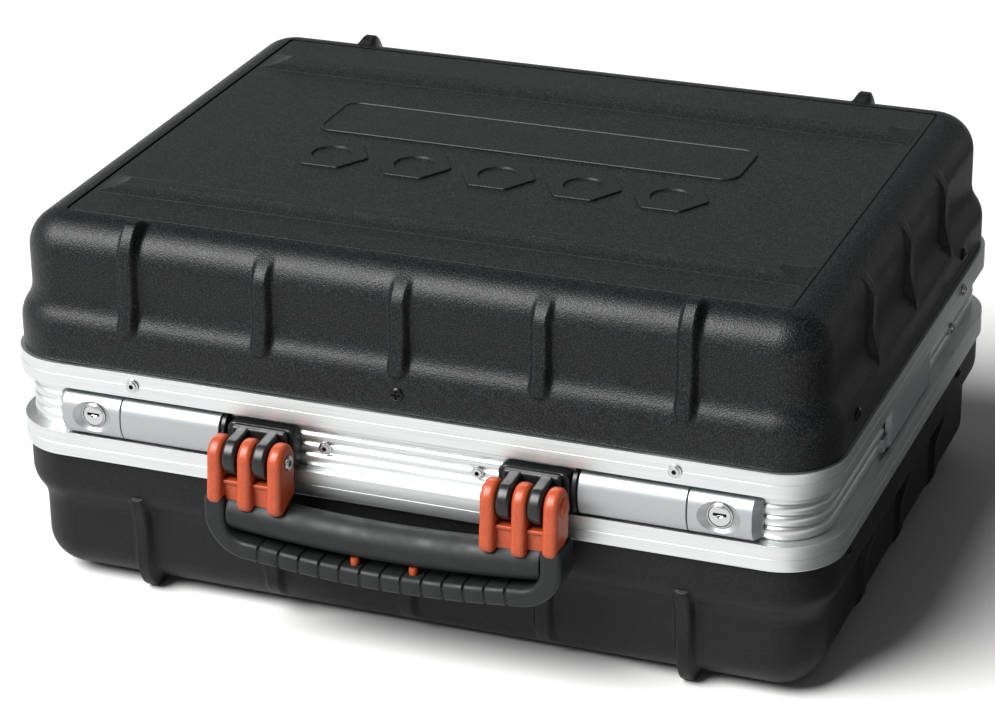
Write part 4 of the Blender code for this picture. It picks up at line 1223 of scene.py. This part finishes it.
class CASE_OT_foam(CaseStep):
    """Cut foam insert for the tools and the lid's waved pad"""

    bl_idname = "case.foam"
    bl_label = "Foam"

    def execute(self, context):
        self.insert()
        self.pad()
        return {"FINISHED"}

    def insert(self):
        """The base's foam block with a hole for each socket, a tray over them and beds for the tools."""
        low, high = span("tool_foam")
        above = high.z + 5
        block = [(32, low.z), (20, 13.0), (13.5, 27.0)]
        block += [(13.5, high.z - 1.2), (13.9, high.z - 0.3), (14.8, high.z)]
        cuts = []
        for size in SOCKET_SIZES:
            node = f"socket_{size}mm"
            socket_low, socket_high = span(node)
            radius = (socket_high.x - socket_low.x) / 2 + 0.6
            cuts.append(bore(axis_of(node, "Z"), "Z", radius, socket_low.z - 0.6, 49.0, 40))
        cuts.append(prism(rounded_rectangle(196.0, 21.0, 3.0, middle=(0.0, 95.0)), "Z", 44.0, above))
        ratchet_low, ratchet_high = span("ratchet_body")
        head = (ratchet_low.x + RATCHET_HEAD, 0.0)
        end = ratchet_high.x + 2
        cuts.append(bore(head, "Z", 18.0, ratchet_low.z - 0.6, above, 48))
        bed = rounded_rectangle((end - head[0]) / 2, 12.0, 4.0, middle=((head[0] + end) / 2, 0.0))
        cuts.append(prism(bed, "Z", 47.0, above + 0.5))
        cuts.append(bore(head, "Z", 10.0, ratchet_low.z - 13, ratchet_low.z + 1, 32))
        bed = rounded_rectangle(span("extension_bar")[1].x + 2, 13.0, 4.0, middle=(0.0, -85.0))
        cuts.append(prism(bed, "Z", 46.4, above + 1))
        made = put("tool_foam_cut", case_loft(block, closed=False), "foam", "base", "tool_foam", cut=cuts)

    def pad(self):
        """The lid's pad, waved like an egg tray on its underside."""
        low, high = span("lid_pad")
        pitch, cell = 20.0, 4
        columns = int((high.x - low.x) / cell)
        rows = int((high.y - low.y) / cell)
        shape = bmesh.new()
        grid = []
        for j in range(rows + 1):
            y = low.y + (high.y - low.y) * j / rows
            line = []
            for i in range(columns + 1):
                x = low.x + (high.x - low.x) * i / columns
                edge = min(x - low.x, high.x - x, y - low.y, high.y - y)
                wave = math.cos(2 * math.pi * x / pitch) * math.cos(2 * math.pi * y / pitch)
                depth = 4.0 + 3.6 * wave * smooth(edge / 8) + 2.0 * (1 - smooth(edge / 6))
                line.append(shape.verts.new((x, y, low.z + depth)))
            grid.append(line)
        for near, far in zip(grid, grid[1:]):
            for i in range(columns):
                shape.faces.new((near[i], far[i], far[i + 1], near[i + 1]))
        rim = [edge for edge in shape.edges if edge.is_boundary]
        skirt = bmesh.ops.extrude_edge_only(shape, edges=rim)["geom"]
        for vert in [item for item in skirt if isinstance(item, bmesh.types.BMVert)]:
            vert.co.z = high.z
        bmesh.ops.holes_fill(shape, edges=[edge for edge in shape.edges if edge.is_boundary])
        bmesh.ops.recalc_face_normals(shape, faces=shape.faces)
        put("lid_pad_waved", shape, "foam", "lid", "lid_pad", sharp=60)


class CASE_OT_tools(CaseStep):
    """Ratchet with its anvil and selector, extension bar and sockets"""

    bl_idname = "case.tools"
    bl_label = "Tools"

    def execute(self, context):
        self.ratchet()
        self.extension()
        for size in SOCKET_SIZES:
            self.socket(size)
        return {"FINISHED"}

    def ratchet(self):
        """A round head on a waisted shaft with a knurled grip, its anvil and its selector."""
        low, high = span("ratchet_body")
        x, level = low.x + RATCHET_HEAD, (low.z + high.z) / 2
        top, bottom = level + 8.0, level - 8.0
        head = eased_rod((x, 0.0), "Z", 17, bottom, top, 1.5, 64)
        waist = ((12, 6.2), (30, 6.0), (60, 5.8), (112, 6.2), (126, 8.2), (136, 9.2))
        shaft = [(x + place, radius) for place, radius in waist]
        for step in range(40):
            place = x + 138 + step * 2.45
            shaft += [(place, 9.6), (place + 0.6, 9.9), (place + 1.8, 9.9), (place + 2.3, 9.4)]
        shaft += [(high.x - 9, 9.6), (high.x - 4, 9.8), (high.x - 1, 8.6), (high.x, 6.5)]
        handle = turned((0.0, level), "X", [(radius, place) for place, radius in shaft], 36)
        shapes = {"add": [handle], "cut": [bore((x, 0.0), "Z", 10.4, bottom - 1, top + 1, 48)], "sharp": 30}
        put("ratchet_body_forged", head, "chrome_tools", "base", "ratchet_body", **shapes)
        low, high = span("ratchet_anvil")
        hub = eased_rod((x, 0.0), "Z", 10, bottom, top, 0.4, 48)
        square = beam((x, 0.0), "Z", HALF_SQUARE, HALF_SQUARE, low.z, bottom + 2)
        ball = turned((x, low.z + 5.5), "Y", [(0.6, -7.3), (1.6, -6.9), (2.1, -6.2), (2.1, -4)], 20)
        shapes = {"add": [soften(square, 0.8), ball], "sharp": 30}
        put("ratchet_anvil_forged", hub, "chrome_tools", "anvil", "ratchet_anvil", **shapes)
        low, high = span("ratchet_selector")
        disc = [(8.5, low.z), (8.5, low.z + 1.6), (8.0, low.z + 2.2), (0.4, low.z + 2.3)]
        disc = turned((x, 0.0), "Z", disc, 40)
        tab = soften(box((x - 2.5, 4, low.z), (x + 2.5, 15, low.z + 4.0)), 0.8, 3)
        shapes = {"add": [tab], "sharp": 30}
        put("ratchet_selector_moulded", disc, "gloss_black", "selector", "ratchet_selector", **shapes)

    def extension(self):
        """A bar with a collar at each end, a square hole in one end and a square on the other."""
        low, high = span("extension_bar")
        start, end = low.x, high.x
        place = axis_of("extension_bar", "X")
        collar = ((10.0, 0), (11.0, 1), (11.0, 8), (10.6, 8.5), (10.6, 22), (11.0, 22.5), (11.0, 29))
        body = [(radius, start + place) for radius, place in (*collar, (9.6, 30.5), (6.4, 36), (6.1, 60))]
        body += [(radius, end - place) for radius, place in ((6.1, 24), (8.6, 19), (8.6, 12), (7.6, 11))]
        square = soften(beam(place, "X", HALF_SQUARE, HALF_SQUARE, end - 13, end), 0.8)
        drive = beam(place, "X", HALF_HOLE, HALF_HOLE, start - 1, start + 14)
        shapes = {"add": [square], "cut": [drive], "sharp": 30}
        bar = turned(place, "X", body, 48)
        put("extension_bar_forged", bar, "chrome_tools", "base", "extension_bar", **shapes)

    def socket(self, size):
        """A socket with a ringed foot, a square hole below and a hexagon with a countersunk mouth above."""
        node = f"socket_{size}mm"
        low, high = span(node)
        place = axis_of(node, "Z")
        radius = (high.x - low.x) / 2
        ring = low.z + 13.0
        body = [(radius - 1.2, low.z), (radius - 0.3, low.z + 0.9)]
        for drawn, place_up in ((0.3, -4), (0.8, -3.4), (0.8, -1.6), (0.3, -1), (0.2, 8), (0.0, 11)):
            body.append((radius - drawn, ring + place_up))
        body += [(radius, high.z - 1.2), (radius - 0.9, high.z)]
        middle = (low.z + high.z) / 2
        drive = beam(place, "Z", HALF_HOLE, HALF_HOLE, low.z - 1, middle + 1)
        reach = size / 2 * 1.155
        nut = prism(circle(place, reach, 6), "Z", middle, high.z + 1)
        mouth = turned(place, "Z", [(reach - 1.2, high.z - 1.6), (reach + 0.5, high.z + 0.4)], 40)
        shapes = {"cut": [drive, nut, mouth], "sharp": 30}
        put(f"{node}_forged", turned(place, "Z", body, 56), "chrome_tools", "base", node, **shapes)


# ---------------------------------------------------------------- stage

# The sun, and the sky's colour and strength from left to right and from the horizon up.
SUN_STRENGTH = 7.4
SUN_ANGLE = 38
SUN_WAY = Vector((0.75, 0.9, -1.3))
SKY = "#F7F8FA"
SKY_ACROSS = (0.28, 0.05)
SKY_UP = (2.1, 0.5)

# The camera's turn, rise and roll in degrees about its target, in metres, and its lens in millimetres.
CAMERA_ANGLES = (21.12, 24.11, -0.73)
CAMERA_TARGET = Vector((0.0, 0.0, 0.110))
CAMERA_DISTANCE = 1.9229
CAMERA_LENS = 119.35
CAMERA_SHIFT = (-0.02056, -0.0163)


class CASE_OT_stage(CaseStep):
    """Pale floor, soft studio light and the camera"""

    bl_idname = "case.stage"
    bl_label = "Stage"

    def execute(self, context):
        context.scene.view_settings.view_transform = "Standard"
        self.floor()
        self.flag()
        self.sky(context)
        self.sun(context)
        self.camera(context)
        return {"FINISHED"}

    def floor(self):
        sheet = bmesh.new()
        bmesh.ops.create_grid(sheet, x_segments=1, y_segments=1, size=20000.0)
        self.card("floor", sheet, "paper_matt_white", "#CDCDCC", 0.8).location.z = -0.0004

    def flag(self):
        """A dark card lying on the right: only reflections meet it, so the case's right side stays dark."""
        sheet = box((285, -350, 0.2), (2600, 2600, 0.6))
        made = self.card("flag", sheet, "card_dark", "#3C3C3C", 0.9)
        for ray in ("camera", "diffuse", "shadow", "transmission"):
            setattr(made, f"visible_{ray}", False)

    def card(self, name, sheet, finish, code, roughness):
        """A sheet of the stage in plain matt paper."""
        made = bare_object(name, sheet)
        made.data.materials.append(surface(finish, linear(code), roughness)[0])
        made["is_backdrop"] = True
        return made

    def sky(self, context):
        """A soft pale surround, stronger on the left and near the horizon."""
        world = bpy.data.worlds.new("studio")
        context.scene.world = world
        world.use_nodes = True
        tree = world.node_tree
        background = tree.nodes["Background"]
        place = add_node(tree, "TexCoord")
        split = add_node(tree, "SeparateXYZ", None, {"Vector": place.outputs["Generated"]})
        share = add_node(tree, "Math", {"operation": "MULTIPLY"})
        tree.links.new(spread(tree, split.outputs["X"], *SKY_ACROSS, -1.0, 1.0), share.inputs[0])
        tree.links.new(spread(tree, split.outputs["Z"], *SKY_UP, 0.0, 1.0), share.inputs[1])
        background.inputs["Color"].default_value = (*linear(SKY), 1.0)
        tree.links.new(share.outputs[0], background.inputs["Strength"])

    def sun(self, context):
        """One broad soft lamp over the left shoulder."""
        lamp = bpy.data.lights.new("key", "SUN")
        lamp.energy = SUN_STRENGTH
        lamp.angle = math.radians(SUN_ANGLE)
        made = bpy.data.objects.new("key", lamp)
        made.rotation_euler = SUN_WAY.to_track_quat("-Z", "Y").to_euler()
        context.scene.collection.objects.link(made)

    def camera(self, context):
        turn, rise, roll = (math.radians(angle) for angle in CAMERA_ANGLES)
        flat = math.cos(rise)
        away = Vector((math.sin(turn) * flat, -math.cos(turn) * flat, math.sin(rise)))
        right = Vector((0, 0, 1)).cross(away).normalized()
        up = away.cross(right)
        across = right * math.cos(roll) + up * math.sin(roll)
        top = up * math.cos(roll) - right * math.sin(roll)
        lens = bpy.data.cameras.new("camera")
        lens.sensor_width = 36.0
        lens.lens = CAMERA_LENS
        lens.shift_x, lens.shift_y = CAMERA_SHIFT
        made = bpy.data.objects.new("camera", lens)
        place = Matrix.Translation(CENTRE + CAMERA_TARGET + away * CAMERA_DISTANCE)
        made.matrix_world = place @ Matrix((across, top, away)).transposed().to_4x4()
        context.scene.collection.objects.link(made)
        context.scene.camera = made


STEPS = (
    CASE_OT_shells,
    CASE_OT_panel,
    CASE_OT_frames,
    CASE_OT_latches,
    CASE_OT_brackets,
    CASE_OT_grip,
    CASE_OT_fixings,
    CASE_OT_hinges,
    CASE_OT_foam,
    CASE_OT_tools,
    CASE_OT_stage,
)


class CASE_PT_panel(bpy.types.Panel):
    """Sidebar list of the case's settings and steps"""

    bl_idname = "CASE_PT_panel"
    bl_label = "Tool Case"
    bl_space_type = "VIEW_3D"
    bl_region_type = "UI"
    bl_category = "Tool Case"

    def draw(self, context):
        layout = self.layout
        for group in (context.scene.case_sizes, context.scene.case_colours):
            for name in group.__annotations__:
                layout.prop(group, name)
        for step in STEPS:
            layout.operator(step.bl_idname)


CLASSES = (CaseSizes, CaseColours, *STEPS, CASE_PT_panel)


def register():
    for item in CLASSES:
        bpy.utils.register_class(item)
    bpy.types.Scene.case_sizes = PointerProperty(type=CaseSizes)
    bpy.types.Scene.case_colours = PointerProperty(type=CaseColours)


def unregister():
    del bpy.types.Scene.case_colours
    del bpy.types.Scene.case_sizes
    for item in reversed(CLASSES):
        bpy.utils.unregister_class(item)


def main():
    register()
    for step in STEPS:
        group, name = step.bl_idname.split(".")
        getattr(getattr(bpy.ops, group), name)()
    boxes = {"cad": CAD_BOX, "visual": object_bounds()}
    boxes = {name: [list(corner) for corner in corners] for name, corners in boxes.items()}


if __name__ == "__main__":
    main()
